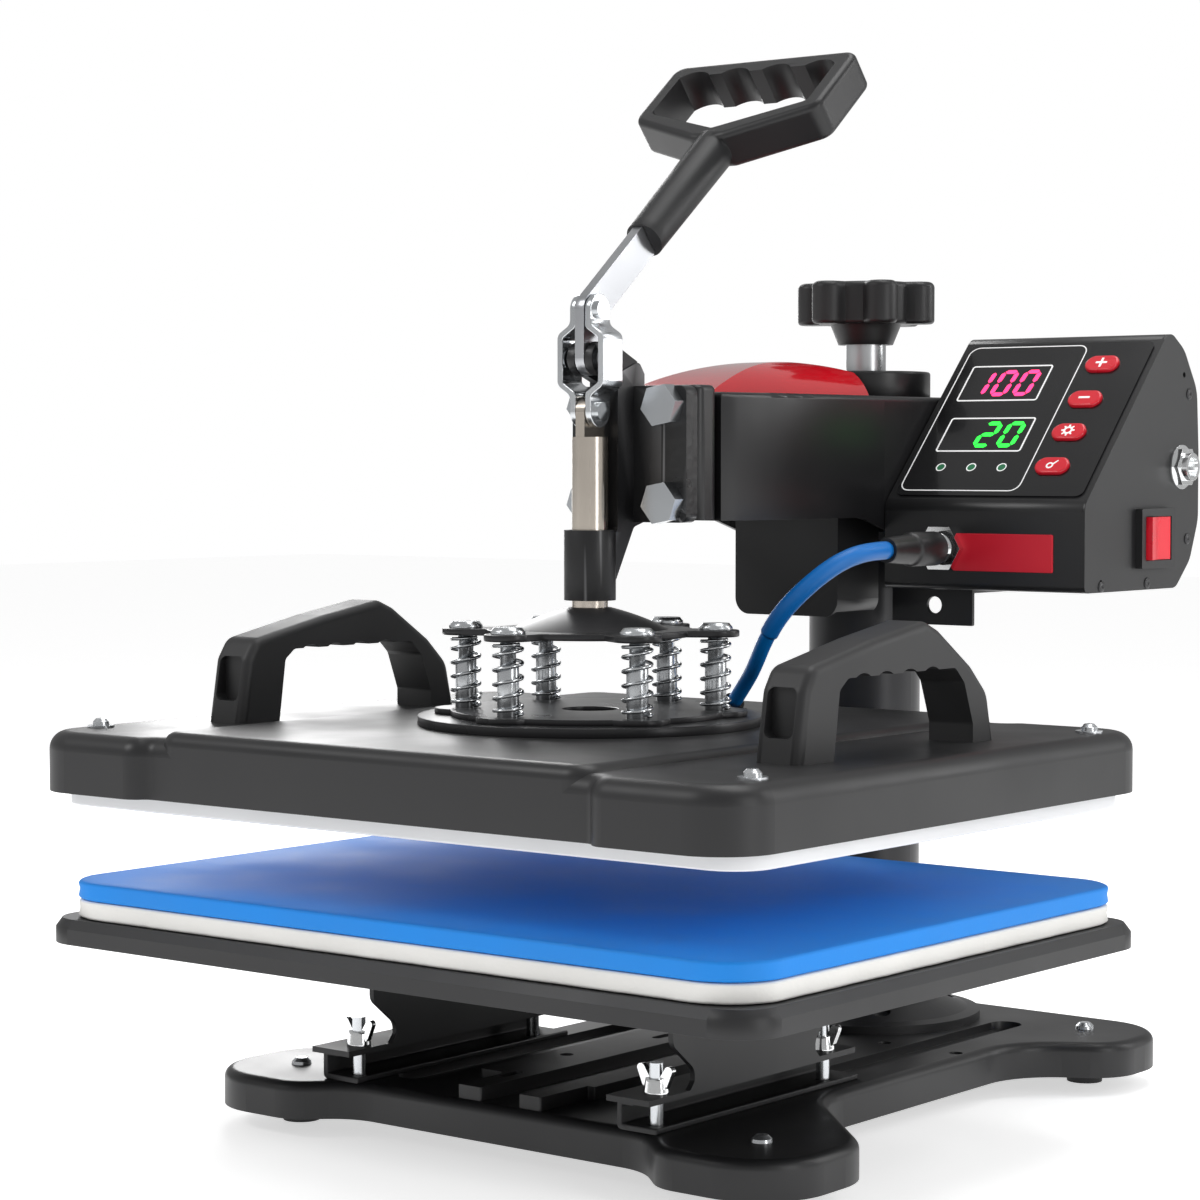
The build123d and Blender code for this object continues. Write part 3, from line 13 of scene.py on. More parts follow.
import bmesh
import bpy
import numpy as np
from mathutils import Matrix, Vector

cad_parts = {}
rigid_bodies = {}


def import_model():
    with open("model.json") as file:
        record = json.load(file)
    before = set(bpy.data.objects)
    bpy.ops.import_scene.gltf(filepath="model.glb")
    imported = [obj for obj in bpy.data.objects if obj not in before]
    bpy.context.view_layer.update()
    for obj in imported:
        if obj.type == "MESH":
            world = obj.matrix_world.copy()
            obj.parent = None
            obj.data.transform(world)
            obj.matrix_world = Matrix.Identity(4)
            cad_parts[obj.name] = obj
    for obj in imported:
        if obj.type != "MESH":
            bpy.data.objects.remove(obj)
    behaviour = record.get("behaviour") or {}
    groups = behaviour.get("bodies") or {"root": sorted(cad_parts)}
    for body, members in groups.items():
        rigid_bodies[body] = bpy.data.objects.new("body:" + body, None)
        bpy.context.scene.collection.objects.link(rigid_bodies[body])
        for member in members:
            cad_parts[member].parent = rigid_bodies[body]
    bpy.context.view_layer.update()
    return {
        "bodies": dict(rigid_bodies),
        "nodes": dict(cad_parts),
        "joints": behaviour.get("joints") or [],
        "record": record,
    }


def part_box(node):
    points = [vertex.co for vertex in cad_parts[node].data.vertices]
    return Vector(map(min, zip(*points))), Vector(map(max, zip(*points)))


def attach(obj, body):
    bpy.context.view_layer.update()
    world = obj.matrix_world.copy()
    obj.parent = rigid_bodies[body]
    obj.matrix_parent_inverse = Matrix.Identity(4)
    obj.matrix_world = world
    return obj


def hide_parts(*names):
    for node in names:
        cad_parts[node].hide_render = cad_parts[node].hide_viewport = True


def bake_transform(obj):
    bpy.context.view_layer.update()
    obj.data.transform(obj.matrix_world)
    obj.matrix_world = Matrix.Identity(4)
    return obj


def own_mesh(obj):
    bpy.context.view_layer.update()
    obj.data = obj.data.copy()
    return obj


LOG = logging.getLogger("heat_press")
PRESS_Y = -0.063
MM = 0.001
Point = tuple[float, float, float]
Outline = list[tuple[float, float]]
Faces = list[list[int]]
WINDOW_ROUND = 1.2
STRIP_OVERLAP = 0.2
BROAD_SCALE = 14.0
BRUSH_STRETCH = 0.08
WEAR_FROM, WEAR_TO = 0.56, 0.66
TONE_FROM, TONE_TO = 0.3, 0.7
BUMP_STRENGTH = 0.6
COAT_ROUGHNESS = 0.05
SHARP_ANGLE = math.radians(40)
WELD_DISTANCE = 0.00001


class Grain(Enum):
    """The kinds of fine surface that a finish can have."""

    SMOOTH = "smooth"
    BRUSHED = "brushed"
    CAST = "cast"
    MOULDED = "moulded"
    FOAM = "foam"


@dataclass(frozen=True)
class Finish:
    """How one material looks.

    scale is the size of the grain in cycles a metre, and depth its height in metres.
    """

    name: str
    colour: tuple[float, float, float]
    grain: Grain = Grain.MOULDED
    metallic: float = 0.0
    roughness: tuple[float, float] = (0.35, 0.5)
    scale: float = 900.0
    depth: float = 0.00003
    shade: float = 0.15
    coat: float = 0.0
    worn: tuple[float, float, float] | None = None
    glow: float = 0.0


BASE_BLACK = Finish("base_black", (0.012, 0.012, 0.013), roughness=(0.34, 0.46), scale=1400, depth=0.00002)
TRAY_BLACK = Finish("tray_black", (0.016, 0.016, 0.017), roughness=(0.4, 0.52), scale=1600, depth=0.00002)
RUBBER = Finish("rubber", (0.02, 0.02, 0.021), roughness=(0.6, 0.75), scale=700)
ZINC = Finish("zinc", (0.66, 0.68, 0.7), Grain.BRUSHED, 1.0, (0.16, 0.32), 420, 0.00001)
BOLT_ZINC = Finish("bolt_zinc", (0.5, 0.52, 0.54), Grain.BRUSHED, 1.0, (0.18, 0.3), 420, 0.00001)
CHROME = Finish("chrome", (0.86, 0.87, 0.88), Grain.SMOOTH, 1.0, (0.06, 0.16), 200, 0.000005)
STEEL = Finish("steel", (0.55, 0.56, 0.57), Grain.BRUSHED, 1.0, (0.24, 0.4), 500, 0.00001)
DARK_STEEL = Finish("dark_steel", (0.03, 0.03, 0.032), Grain.MOULDED, 0.3, (0.25, 0.4), 600, 0.00002)
COVER_BLACK = Finish("cover_black", (0.014, 0.014, 0.015), roughness=(0.36, 0.5), scale=1800, depth=0.00002)
ARM_BLACK = Finish("arm_black", (0.009, 0.009, 0.01), roughness=(0.3, 0.42), scale=1500, depth=0.00002)
CAST_BLACK = Finish(
    "cast_black", (0.013, 0.013, 0.014), Grain.CAST, 0.1, (0.22, 0.5), 260, 0.0002, worn=(0.45, 0.45, 0.46)
)
BRONZE = Finish("bronze", (0.62, 0.56, 0.49), Grain.BRUSHED, 1.0, (0.16, 0.3), 300, 0.00001)
ALUMINIUM = Finish("aluminium", (0.5, 0.51, 0.53), Grain.BRUSHED, 1.0, (0.26, 0.38), 500, 0.00001)
GRIP_BLACK = Finish("grip_black", (0.014, 0.014, 0.015), roughness=(0.38, 0.5), scale=1500, depth=0.00003)
HANDLE_BLACK = Finish("handle_black", (0.02, 0.02, 0.021), roughness=(0.42, 0.55), scale=1400, depth=0.00003)
WHITE_COAT = Finish("white_coat", (0.82, 0.83, 0.85), roughness=(0.35, 0.5), scale=900, depth=0.00001)
BLANKET = Finish("blanket", (0.78, 0.76, 0.68), Grain.FOAM, roughness=(0.8, 0.95), scale=500, depth=0.0003)
WHITE_FOAM = Finish(
    "white_foam", (0.86, 0.85, 0.82), Grain.FOAM, roughness=(0.75, 0.9), scale=420, depth=0.0003
)
BLUE_FOAM = Finish("blue_foam", (0.0, 0.25, 0.8), Grain.FOAM, roughness=(0.55, 0.7), scale=620, depth=0.00012)
DOME_RED = Finish(
    "dome_red", (0.66, 0.006, 0.016), Grain.SMOOTH, roughness=(0.08, 0.14), coat=0.8, depth=0.000005
)
BOX_BLACK = Finish("box_black", (0.013, 0.013, 0.014), roughness=(0.3, 0.42), scale=1500, depth=0.00003)
PANEL = Finish("panel", (0.006, 0.006, 0.007), Grain.SMOOTH, roughness=(0.16, 0.24), coat=0.3, depth=0.000005)
BOARD = Finish("board", (0.02, 0.2, 0.08), roughness=(0.3, 0.4))
KEY_RED = Finish("key_red", (0.78, 0.012, 0.03), Grain.SMOOTH, roughness=(0.2, 0.3), coat=0.4, depth=0.00001)
PLATE_RED = Finish("plate_red", (0.72, 0.01, 0.03), Grain.SMOOTH, roughness=(0.3, 0.4), depth=0.00001)
# White print with a painted glow: its emission of 0.3 lights the print beyond what the lamps give it.
PRINT_WHITE_PAINTED_GLOW = Finish("print_white_painted_glow", (0.9, 0.9, 0.9), Grain.SMOOTH, roughness=(0.4, 0.5), glow=0.3)
GLOW_PINK = Finish("glow_pink", (1.0, 0.03, 0.16), Grain.SMOOTH, roughness=(0.4, 0.5), glow=2.2)
GLOW_GREEN = Finish("glow_green", (0.02, 0.95, 0.05), Grain.SMOOTH, roughness=(0.4, 0.5), glow=1.6)
CABLE_BLUE = Finish(
    "cable_blue", (0.0, 0.23, 0.74), Grain.SMOOTH, roughness=(0.28, 0.4), scale=300, depth=0.00002
)
SLEEVE_BLUE = Finish("sleeve_blue", (0.0, 0.19, 0.64), roughness=(0.4, 0.55), scale=900)

NODE_FINISHES: dict[Finish, tuple[str, ...]] = {
    BASE_BLACK: ("base_plate", "column_flange", "column_guard", "box_bracket"),
    TRAY_BLACK: ("bed_tray", "rails", "bed_legs", "centre_bars"),
    RUBBER: ("rubber_feet",),
    ZINC: ("clamp_studs", "base_screws", "platen_fasteners", "spring_posts", "toggle_links"),
    BOLT_ZINC: ("bracket_fasteners",),
    CHROME: (
        "wing_nut_front_left",
        "wing_nut_rear_left",
        "wing_nut_front_right",
        "wing_nut_rear_right",
        "panel_sockets",
        "link_rivets",
    ),
    STEEL: ("column_nut", "lift_bush", "height_screw", "heater_element"),
    DARK_STEEL: ("spring_disc", "lobed_plate", "spider_plate", "column_tube"),
    COVER_BLACK: ("platen_cover",),
    ARM_BLACK: ("arm_cover", "arm_frame", "head_cap"),
    CAST_BLACK: ("toggle_bracket",),
    BRONZE: ("plunger", "guide_bush"),
    ALUMINIUM: ("lever_bar",),
    GRIP_BLACK: ("lever_grip", "height_knob", "cable_plug", "switch_bezel", "mains_inlet", "cable_gland"),
    HANDLE_BLACK: ("side_handles",),
    WHITE_COAT: ("heat_plate",),
    DOME_RED: ("arm_dome",),
    BOX_BLACK: ("box_shell", "box_side"),
    PANEL: ("display_panel",),
    BOARD: ("circuit_board",),
    KEY_RED: ("button_plus", "button_minus", "button_settings", "button_confirm", "power_rocker"),
}
EDGE_BREAKS: dict[float, tuple[str, ...]] = {
    0.0012: ("base_plate", "arm_frame", "height_knob", "bed_tray"),
    0.0006: (
        "lever_grip",
        "side_handles",
        "toggle_bracket",
        "box_shell",
        "box_side",
        "arm_cover",
        "spider_plate",
        "bed_legs",
        "rails",
        "centre_bars",
        "column_guard",
        "box_bracket",
        "switch_bezel",
        "heat_plate",
    ),
    0.0009: ("bracket_fasteners",),
    0.0004: (
        "lever_bar",
        "toggle_links",
        "spring_posts",
        "spring_disc",
        "lobed_plate",
        "power_rocker",
        "panel_sockets",
        "cable_plug",
        "head_cap",
        "wing_nut_front_left",
        "wing_nut_rear_left",
        "wing_nut_front_right",
        "wing_nut_rear_right",
    ),
}


class Materials:
    """Makes each finish once, as a procedural material."""

    def __init__(self) -> None:
        """Start with no material and the shared grain groups."""
        self.made: dict[str, bpy.types.Material] = {}
        self.groups = {kind: self._grain_group(kind) for kind in Grain}

    def _grain_group(self, kind: Grain) -> bpy.types.NodeTree:
        """Build the shared node group of one kind of grain.

        Args:
            kind: which grain it makes.

        Returns:
            A group with a Scale input and the outputs Height, Tone and Wear.
        """
        group = bpy.data.node_groups.new(f"grain_{kind.value}", "ShaderNodeTree")
        group.interface.new_socket("Scale", in_out="INPUT", socket_type="NodeSocketFloat")
        for name in ("Height", "Tone", "Wear"):
            group.interface.new_socket(name, in_out="OUTPUT", socket_type="NodeSocketFloat")
        nodes, links = group.nodes, group.links
        start, end = nodes.new("NodeGroupInput"), nodes.new("NodeGroupOutput")
        place = nodes.new("ShaderNodeTexCoord")
        fine = nodes.new("ShaderNodeTexNoise")
        fine.inputs["Detail"].default_value = 4.0
        links.new(place.outputs["Object"], fine.inputs["Vector"])
        links.new(start.outputs["Scale"], fine.inputs["Scale"])
        height = fine.outputs["Fac"]
        if kind is Grain.BRUSHED:
            stretch = nodes.new("ShaderNodeMapping")
            stretch.inputs["Scale"].default_value = (1.0, 1.0, BRUSH_STRETCH)
            links.new(place.outputs["Object"], stretch.inputs["Vector"])
            links.new(stretch.outputs["Vector"], fine.inputs["Vector"])
        if kind in (Grain.FOAM, Grain.CAST):
            cells = nodes.new("ShaderNodeTexVoronoi")
            links.new(place.outputs["Object"], cells.inputs["Vector"])
            links.new(start.outputs["Scale"], cells.inputs["Scale"])
            blend = nodes.new("ShaderNodeMath")
            blend.operation = "MULTIPLY"
            links.new(cells.outputs["Distance"], blend.inputs[0])
            links.new(fine.outputs["Fac"], blend.inputs[1])
            height = blend.outputs["Value"]
        broad = nodes.new("ShaderNodeTexNoise")
        broad.inputs["Scale"].default_value = BROAD_SCALE
        broad.inputs["Detail"].default_value = 3.0
        links.new(place.outputs["Object"], broad.inputs["Vector"])
        edge = nodes.new("ShaderNodeNewGeometry")
        ramp = nodes.new("ShaderNodeMapRange")
        ramp.inputs["From Min"].default_value = WEAR_FROM
        ramp.inputs["From Max"].default_value = WEAR_TO
        links.new(edge.outputs["Pointiness"], ramp.inputs["Value"])
        patch = nodes.new("ShaderNodeMath")
        patch.operation = "MULTIPLY"
        links.new(ramp.outputs["Result"], patch.inputs[0])
        links.new(broad.outputs["Fac"], patch.inputs[1])
        links.new(height, end.inputs["Height"])
        links.new(broad.outputs["Fac"], end.inputs["Tone"])
        links.new(patch.outputs["Value"], end.inputs["Wear"])
        return group

    def get(self, finish: Finish) -> bpy.types.Material:
        """Give the material of a finish, made on first use.

        Args:
            finish: the look that is wanted.

        Returns:
            The material.
        """
        if finish.name in self.made:
            return self.made[finish.name]
        material = bpy.data.materials.new(finish.name)
        material.use_nodes = True
        nodes, links = material.node_tree.nodes, material.node_tree.links
        shader = nodes["Principled BSDF"]
        grain = nodes.new("ShaderNodeGroup")
        grain.node_tree = self.groups[finish.grain]
        grain.inputs["Scale"].default_value = finish.scale
        tint = nodes.new("ShaderNodeMix")
        tint.data_type = "RGBA"
        dark = 1 - finish.shade
        tint.inputs["A"].default_value = (*[c * dark for c in finish.colour], 1)
        light = [min(1.0, c * (1 + finish.shade)) for c in finish.colour]
        tint.inputs["B"].default_value = (*light, 1)
        links.new(grain.outputs["Tone"], tint.inputs["Factor"])
        colour = tint.outputs["Result"]
        if finish.worn:
            rub = nodes.new("ShaderNodeMix")
            rub.data_type = "RGBA"
            rub.inputs["B"].default_value = (*finish.worn, 1)
            links.new(grain.outputs["Wear"], rub.inputs["Factor"])
            links.new(colour, rub.inputs["A"])
            colour = rub.outputs["Result"]
        links.new(colour, shader.inputs["Base Color"])
        rough = nodes.new("ShaderNodeMapRange")
        rough.inputs["From Min"].default_value = TONE_FROM
        rough.inputs["From Max"].default_value = TONE_TO
        rough.inputs["To Min"].default_value = finish.roughness[0]
        rough.inputs["To Max"].default_value = finish.roughness[1]
        links.new(grain.outputs["Tone"], rough.inputs["Value"])
        links.new(rough.outputs["Result"], shader.inputs["Roughness"])
        bump = nodes.new("ShaderNodeBump")
        bump.inputs["Strength"].default_value = BUMP_STRENGTH
        bump.inputs["Distance"].default_value = finish.depth
        links.new(grain.outputs["Height"], bump.inputs["Height"])
        links.new(bump.outputs["Normal"], shader.inputs["Normal"])
        shader.inputs["Metallic"].default_value = finish.metallic
        shader.inputs["Coat Weight"].default_value = finish.coat
        shader.inputs["Coat Roughness"].default_value = COAT_ROUGHNESS
        if finish.glow:
            shader.inputs["Emission Color"].default_value = (*finish.colour, 1)
            shader.inputs["Emission Strength"].default_value = finish.glow
        material.diffuse_color = (*finish.colour, 1)
        self.made[finish.name] = material
        return material


@dataclass(frozen=True)
class Face:
    """A flat place on the object: an origin and the directions right and up."""

    origin: Point
    right: Point
    up: Point

    def at(self, p: np.ndarray, q: np.ndarray, lift: np.ndarray | float = 0.0) -> np.ndarray:
        """Find points on the face: origin + p right + q up + lift out, with out = right x up.

        Args:
            p: how far right, in millimetres.
            q: how far up, in millimetres.
            lift: how far out, in millimetres.

        Returns:
            The points in metres, one row each.
        """
        out = np.cross(self.right, self.up)
        p, q, lift = (side[..., None] for side in np.broadcast_arrays(p, q, lift))
        return np.array(self.origin) + MM * (p * np.array(self.right) + q * np.array(self.up) + lift * out)


def circle(middle: tuple[float, float], radius: float, sides: int) -> Outline:
    """Points of a circle: the middle plus radius times (cosine, sine) of equal steps.

    Args:
        middle: its centre, in millimetres.
        radius: in millimetres.
        sides: how many points.

    Returns:
        Its points, anticlockwise.
    """
    angles = np.linspace(0, 2 * math.pi, sides + 1)[:-1]
    return [(middle[0] + radius * math.cos(a), middle[1] + radius * math.sin(a)) for a in angles]


def walls(rings: int, sides: int, first: int = 0) -> Faces:
    """Faces of a closed band: point k of a ring joins point k + 1 and the next ring.

    Args:
        rings: how many rings of points, one after the other.
        sides: points in each ring.
        first: number of the first point.

    Returns:
        The four-cornered faces between the rings, then one face on each end.
    """
    here = first + np.arange((rings - 1) * sides).reshape(rings - 1, sides)
    along = np.roll(here, -1, axis=1)
    band = np.stack((here, along, along + sides, here + sides), axis=-1).reshape(-1, 4).tolist()
    last = first + (rings - 1) * sides
    return band + [list(range(first, first + sides))[::-1], list(range(last, last + sides))]


def rounded(left: float, low: float, right: float, high: float, radius: float, steps: int = 6) -> Outline:
    """An upright rectangle with round corners.

    Args:
        left: lowest p.
        low: lowest q.
        right: highest p.
        high: highest q.
        radius: of the corners.
        steps: points along each corner, less one.

    Returns:
        Its points, anticlockwise.
    """
    centres = ((right - radius, high - radius), (left + radius, high - radius))
    centres += ((left + radius, low + radius), (right - radius, low + radius))
    points: Outline = []
    for quarter, (x, y) in enumerate(centres):
        for step in range(steps + 1):
            angle = math.radians(90 * (quarter + step / steps))
            points.append((x + radius * math.cos(angle), y + radius * math.sin(angle)))
    return points


class Pieces:
    """Makes the meshes that the scene adds to the CAD frame."""

    def __init__(self, materials: Materials) -> None:
        """Keep the materials that the pieces take."""
        self.materials = materials

    def mesh(
        self,
        name: str,
        points: np.ndarray,
        faces: Faces,
        finish: Finish,
        body: str,
        slot: str,
        smooth: bool = True,
    ) -> bpy.types.Object:
        """Make one object that rides on a body.

        Args:
            name: of the object.
            points: its vertices, in metres, one row each.
            faces: vertex numbers of each face.
            finish: its look.
            body: the CAD body that it rides on, or nothing to leave it unattached.
            slot: the record's material slot; not used.
            smooth: whether its faces are shaded smooth.

        Returns:
            The object.
        """
        data = bpy.data.meshes.new(name)
        data.from_pydata(points.tolist(), [], faces)
        work = bmesh.new()
        work.from_mesh(data)
        bmesh.ops.recalc_face_normals(work, faces=work.faces)
        work.to_mesh(data)
        work.free()
        if smooth:
            data.shade_smooth()
        item = bpy.data.objects.new(name, data)
        bpy.context.scene.collection.objects.link(item)
        data.materials.append(self.materials.get(finish))
        if body:
            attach(item, body)
        LOG.info("piece %s: %d faces", name, len(faces))
        return item

    def plate(
        self,
        name: str,
        face: Face,
        outlines: list[Outline],
        low: float,
        high: float,
        finish: Finish,
        body: str,
        slot: str,
        edge: float = 0.0,
    ) -> bpy.types.Object:
        """Make flat plates with an optional bevelled upper edge, all one object.

        Each plate is its outline at two lifts, and with a bevel a third ring: the
        outline shrunk about its mean point by edge over half its narrow side.

        Args:
            name: of the object.
            face: the flat place that they lie on.
            outlines: one closed outline each, in millimetres.
            low: how far out their lower side is.
            high: how far out their upper side is.
            finish: their look.
            body: the CAD body that they ride on.
            slot: the record's material slot.
            edge: width of the bevel.

        Returns:
            The object.
        """
        blocks: list[np.ndarray] = []
        faces: Faces = []
        first = 0
        for outline in outlines:
            ring = np.array(outline)
            levels = [(ring, low), (ring, high)]
            if edge:
                middle = ring.mean(axis=0)
                inner = middle + (ring - middle) * (1 - edge / (np.ptp(ring, axis=0).min() / 2))
                levels = [(ring, low), (ring, high - edge), (inner, high)]
            blocks += [face.at(line[:, 0], line[:, 1], lift) for line, lift in levels]
            faces += walls(len(levels), len(ring), first)
            first += len(levels) * len(ring)
        return self.mesh(name, np.concatenate(blocks), faces, finish, body, slot, smooth=False)

    def ring_band(self, outline: Outline, width: float) -> list[np.ndarray]:
        """Cut the band along a closed outline into short four-cornered strips.

        A strip is the line between two neighbours, made longer by a share of the
        width at both ends and moved half the width to each side.

        Args:
            outline: the closed line, in millimetres.
            width: of the band.

        Returns:
            One outline for each strip.
        """
        start = np.array(outline)
        stop = np.roll(start, -1, axis=0)
        length = np.linalg.norm(stop - start, axis=1, keepdims=True)
        kept = length[:, 0] >= 1e-6
        start, stop = start[kept], stop[kept]
        way = (stop - start) / length[kept]
        side = np.stack((-way[:, 1], way[:, 0]), axis=1) * width / 2
        start, stop = start - way * width * STRIP_OVERLAP, stop + way * width * STRIP_OVERLAP
        return list(np.stack((start - side, stop - side, stop + side, start + side), axis=1))

    def tube(self, line: np.ndarray, radius: float, sides: int = 16) -> tuple[np.ndarray, Faces]:
        """Sweep a circle along a line of points, without twist.

        At each point the sideways direction is the last one less its part along the
        line. The ring is the point plus radius times (cosine of the sideways
        direction plus sine of the one square to it).

        Args:
            line: the points, one row each.
            radius: of the tube.
            sides: of its section.

        Returns:
            Its points and faces, with closed ends.
        """
        way = np.gradient(line, axis=0)
        way /= np.linalg.norm(way, axis=1)[:, None]
        side = np.cross(way[0], (0.31, 0.17, 0.93))
        carried = []
        for along in way:
            side = side - along * (side @ along)
            side /= np.linalg.norm(side)
            carried.append(side)
        across = np.array(carried)[:, None]
        other = np.cross(way, across[:, 0])[:, None]
        angles = 2 * math.pi * np.arange(sides)[None, :, None] / sides
        points = line[:, None] + radius * (across * np.cos(angles) + other * np.sin(angles))
        return points.reshape(-1, 3), walls(len(line), sides)

    def turned(self, face: Face, profile: Outline, sides: int = 28) -> tuple[np.ndarray, Faces]:
        """Turn a profile of (radius, lift) points about the way out of a face.

        Each ring is radius times (cosine, sine) of equal steps, at its lift.

        Args:
            face: its origin is the axis's foot.
            profile: radii and lifts in millimetres, from the rim to the middle.
            sides: of each ring.

        Returns:
            Its points and faces.
        """
        radius, lift = np.array(profile).T[:, :, None]
        angles = 2 * math.pi * np.arange(sides)[None] / sides
        points = face.at(radius * np.cos(angles), radius * np.sin(angles), lift)
        return points.reshape(-1, 3), walls(len(profile), sides)


@dataclass
class FoamPads:
    """The two loose pads of the bed and the blanket inside the platen."""

    pieces: Pieces
    corner: float = 0.025
    edge: float = 0.0014
    cell: float = 0.006
    waist: float = 0.0004

    def ring(self, half: tuple[float, float]) -> np.ndarray:
        """Walk round a rectangle with round corners in steps of at most one cell.

        Args:
            half: half its width and half its depth, in metres.

        Returns:
            The points, one row each.
        """
        start = np.array(rounded(-half[0], -half[1], half[0], half[1], self.corner, 14))
        stop = np.roll(start, -1, axis=0)
        runs = []
        for here, there in zip(start, stop):
            count = max(1, int(math.dist(here, there) / self.cell))
            runs.append(here + (there - here) * np.arange(count)[:, None] / count)
        return np.concatenate(runs)

    def profile(self, low: float, high: float) -> np.ndarray:
        """Section of the pad's edge: a quarter circle at the foot and one at the top.

        Args:
            low: height of its underside, in metres.
            high: height of its top, in metres.

        Returns:
            Rows of inset and height, from the underside to the top.
        """
        edge = self.edge
        turns = np.radians(22.5 * np.arange(1, 5))
        foot = np.stack((edge * (1 - np.sin(turns)), low + edge * (1 - np.cos(turns))), axis=1)
        turns = np.radians(22.5 * np.arange(5))
        brim = np.stack((edge * (1 - np.cos(turns)), high - edge * (1 - np.sin(turns))), axis=1)
        waist = [(self.waist, (low + high) / 2)]
        top = [(edge + 0.004, high), (0.02, high)]
        return np.concatenate(([(edge, low)], foot, waist, brim, top))

    def pad(self, node: str, name: str, finish: Finish, slot: str, body: str, ruffle: float) -> None:
        """Build one pad on a grid, with round edges and a slightly uneven skin.

        A point is the outline's point times (1 - shift / half size). Near the edge the
        shift is the profile's inset plus ruffle times a sum of three sine waves of the
        way round, and further in it is the inset alone.

        Args:
            node: the CAD node that it replaces.
            name: of the piece.
            finish: its look.
            slot: the record's material slot.
            body: the CAD body that it rides on.
            ruffle: how far the side wanders, in metres.
        """
        low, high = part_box(node)
        half = ((high[0] - low[0]) / 2, (high[1] - low[1]) / 2)
        middle = ((high[0] + low[0]) / 2, (high[1] + low[1]) / 2)
        ring = self.ring(half)
        inset, z = self.profile(low[2], high[2]).T[:, :, None]
        t = 2 * math.pi * np.arange(len(ring))[None] / len(ring)
        waves = 0.25 * np.sin(37 * t) + 0.15 * np.sin(83 * t + z * 900) + 0.1 * np.sin(151 * t)
        shift = inset + np.where(inset < 0.01, ruffle * (0.5 + waves), 0)
        x = middle[0] + ring[:, 0] * (1 - shift / half[0])
        y = middle[1] + ring[:, 1] * (1 - shift / half[1])
        points = np.stack((x, y, z + 0 * x), axis=-1)
        faces = walls(len(points), len(ring))
        item = self.pieces.mesh(name, points.reshape(-1, 3), faces, finish, body, slot)
        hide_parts(node)

    def build(self) -> None:
        """Make both pads and the blanket."""
        self.pad("white_pad", "sponge_pad", WHITE_FOAM, "white_foam", "base", 0.0006)
        self.pad("blue_pad", "foam_pad", BLUE_FOAM, "blue_foam", "base", 0.0003)
        self.pad("insulation_blanket", "glass_blanket", BLANKET, "blanket", "platen", 0.001)


@dataclass
class SpringSet:
    """Six coil springs round the posts of the platen."""

    pieces: Pieces
    circle: float = 0.056
    coil: float = 0.0062
    wire: float = 0.0008
    turns: int = 6
    seat: float = 0.1928
    low: float = 0.1936
    rise: float = 0.0303
    end_pitch: float = 0.0024
    end_turn: float = 0.9
    keep: float = 0.72

    def height(self, turn: np.ndarray) -> np.ndarray:
        """Rise of the wire: end_pitch a turn in both end turns, and evenly between them.

        Args:
            turn: how many turns from the foot.

        Returns:
            The rise in metres.
        """
        share = np.clip((turn - self.end_turn) / (self.turns - 2 * self.end_turn), 0, 1)
        ends = np.minimum(turn, self.end_turn) + np.maximum(turn - self.turns + self.end_turn, 0)
        return self.end_pitch * ends + share * (self.rise - 2 * self.end_turn * self.end_pitch)

    def build(self) -> None:
        """Make the six springs of the platen.

        The wire's line is a helix: coil times (cosine, sine) of the turns, at its rise.
        """
        turn = np.linspace(0, self.turns, self.turns * 28 + 1)
        angle = 2 * math.pi * turn
        for k in range(6):
            post = math.radians(30 + 60 * k)
            x, y = self.circle * math.cos(post), PRESS_Y + self.circle * math.sin(post)
            line = np.stack(
                (x + self.coil * np.cos(angle), y + self.coil * np.sin(angle), self.low + self.height(turn)),
                axis=1,
            )
            points, faces = self.pieces.tube(line, self.wire, 10)
            item = self.pieces.mesh(f"coil_spring_{k + 1}", points, faces, ZINC, "platen", "zinc")
            if k == 0:
                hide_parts("springs")
            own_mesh(item)


@dataclass
class Cable:
    """The blue cable from the plug to the platen, with its thicker sleeve."""

    pieces: Pieces
    radius: float = 0.0035
    sleeve_radius: float = 0.0042
    sleeve_share: float = 0.62
    bends_from: int = 6
    route: list[Point] = field(
        default_factory=lambda: [
            (0.0793, 0.117, 0.2614),
            (0.0793, 0.1001, 0.2614),
            (0.0739, 0.0849, 0.2563),
            (0.0653, 0.0744, 0.2462),
            (0.0544, 0.0697, 0.2342),
            (0.0436, 0.0725, 0.2215),
            (0.0333, 0.0797, 0.2102),
            (0.0222, 0.0891, 0.2017),
            (0.0105, 0.0940, 0.1905),
        ]
    )

    def line(self) -> np.ndarray:
        """Let Blender work out the smooth spline that the route's points control.

        Returns:
            Points along it, one row each.
        """
        curve = bpy.data.curves.new("cable_line", "CURVE")
        curve.dimensions = "3D"
        spline = curve.splines.new("NURBS")
        spline.points.add(len(self.route) - 1)
        for point, (x, y, z) in zip(spline.points, self.route):
            point.co = (x, PRESS_Y + y, z, 1)
        spline.order_u = 3
        spline.use_endpoint_u = True
        spline.resolution_u = 12
        holder = bpy.data.objects.new("cable_line", curve)
        bpy.context.scene.collection.objects.link(holder)
        bpy.context.view_layer.update()
        data = bpy.data.meshes.new_from_object(holder)
        points = np.array([v.co[:] for v in data.vertices])
        bpy.data.objects.remove(holder)
        return points

    def build(self) -> None:
        """Make the cable and its sleeve, bent between the arm and the platen."""
        line = self.line()
        points, faces = self.pieces.tube(line, self.radius, 20)
        cable = self.pieces.mesh("heater_cable", points, faces, CABLE_BLUE, "", "cable_blue")
        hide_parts("blue_cable")
        part = line[: int(len(line) * self.sleeve_share)]
        points, faces = self.pieces.tube(part, self.sleeve_radius, 20)
        sleeve = self.pieces.mesh("cable_sleeve", points, faces, SLEEVE_BLUE, "", "cable_blue")
        for item in (cable, sleeve):
            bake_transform(item)


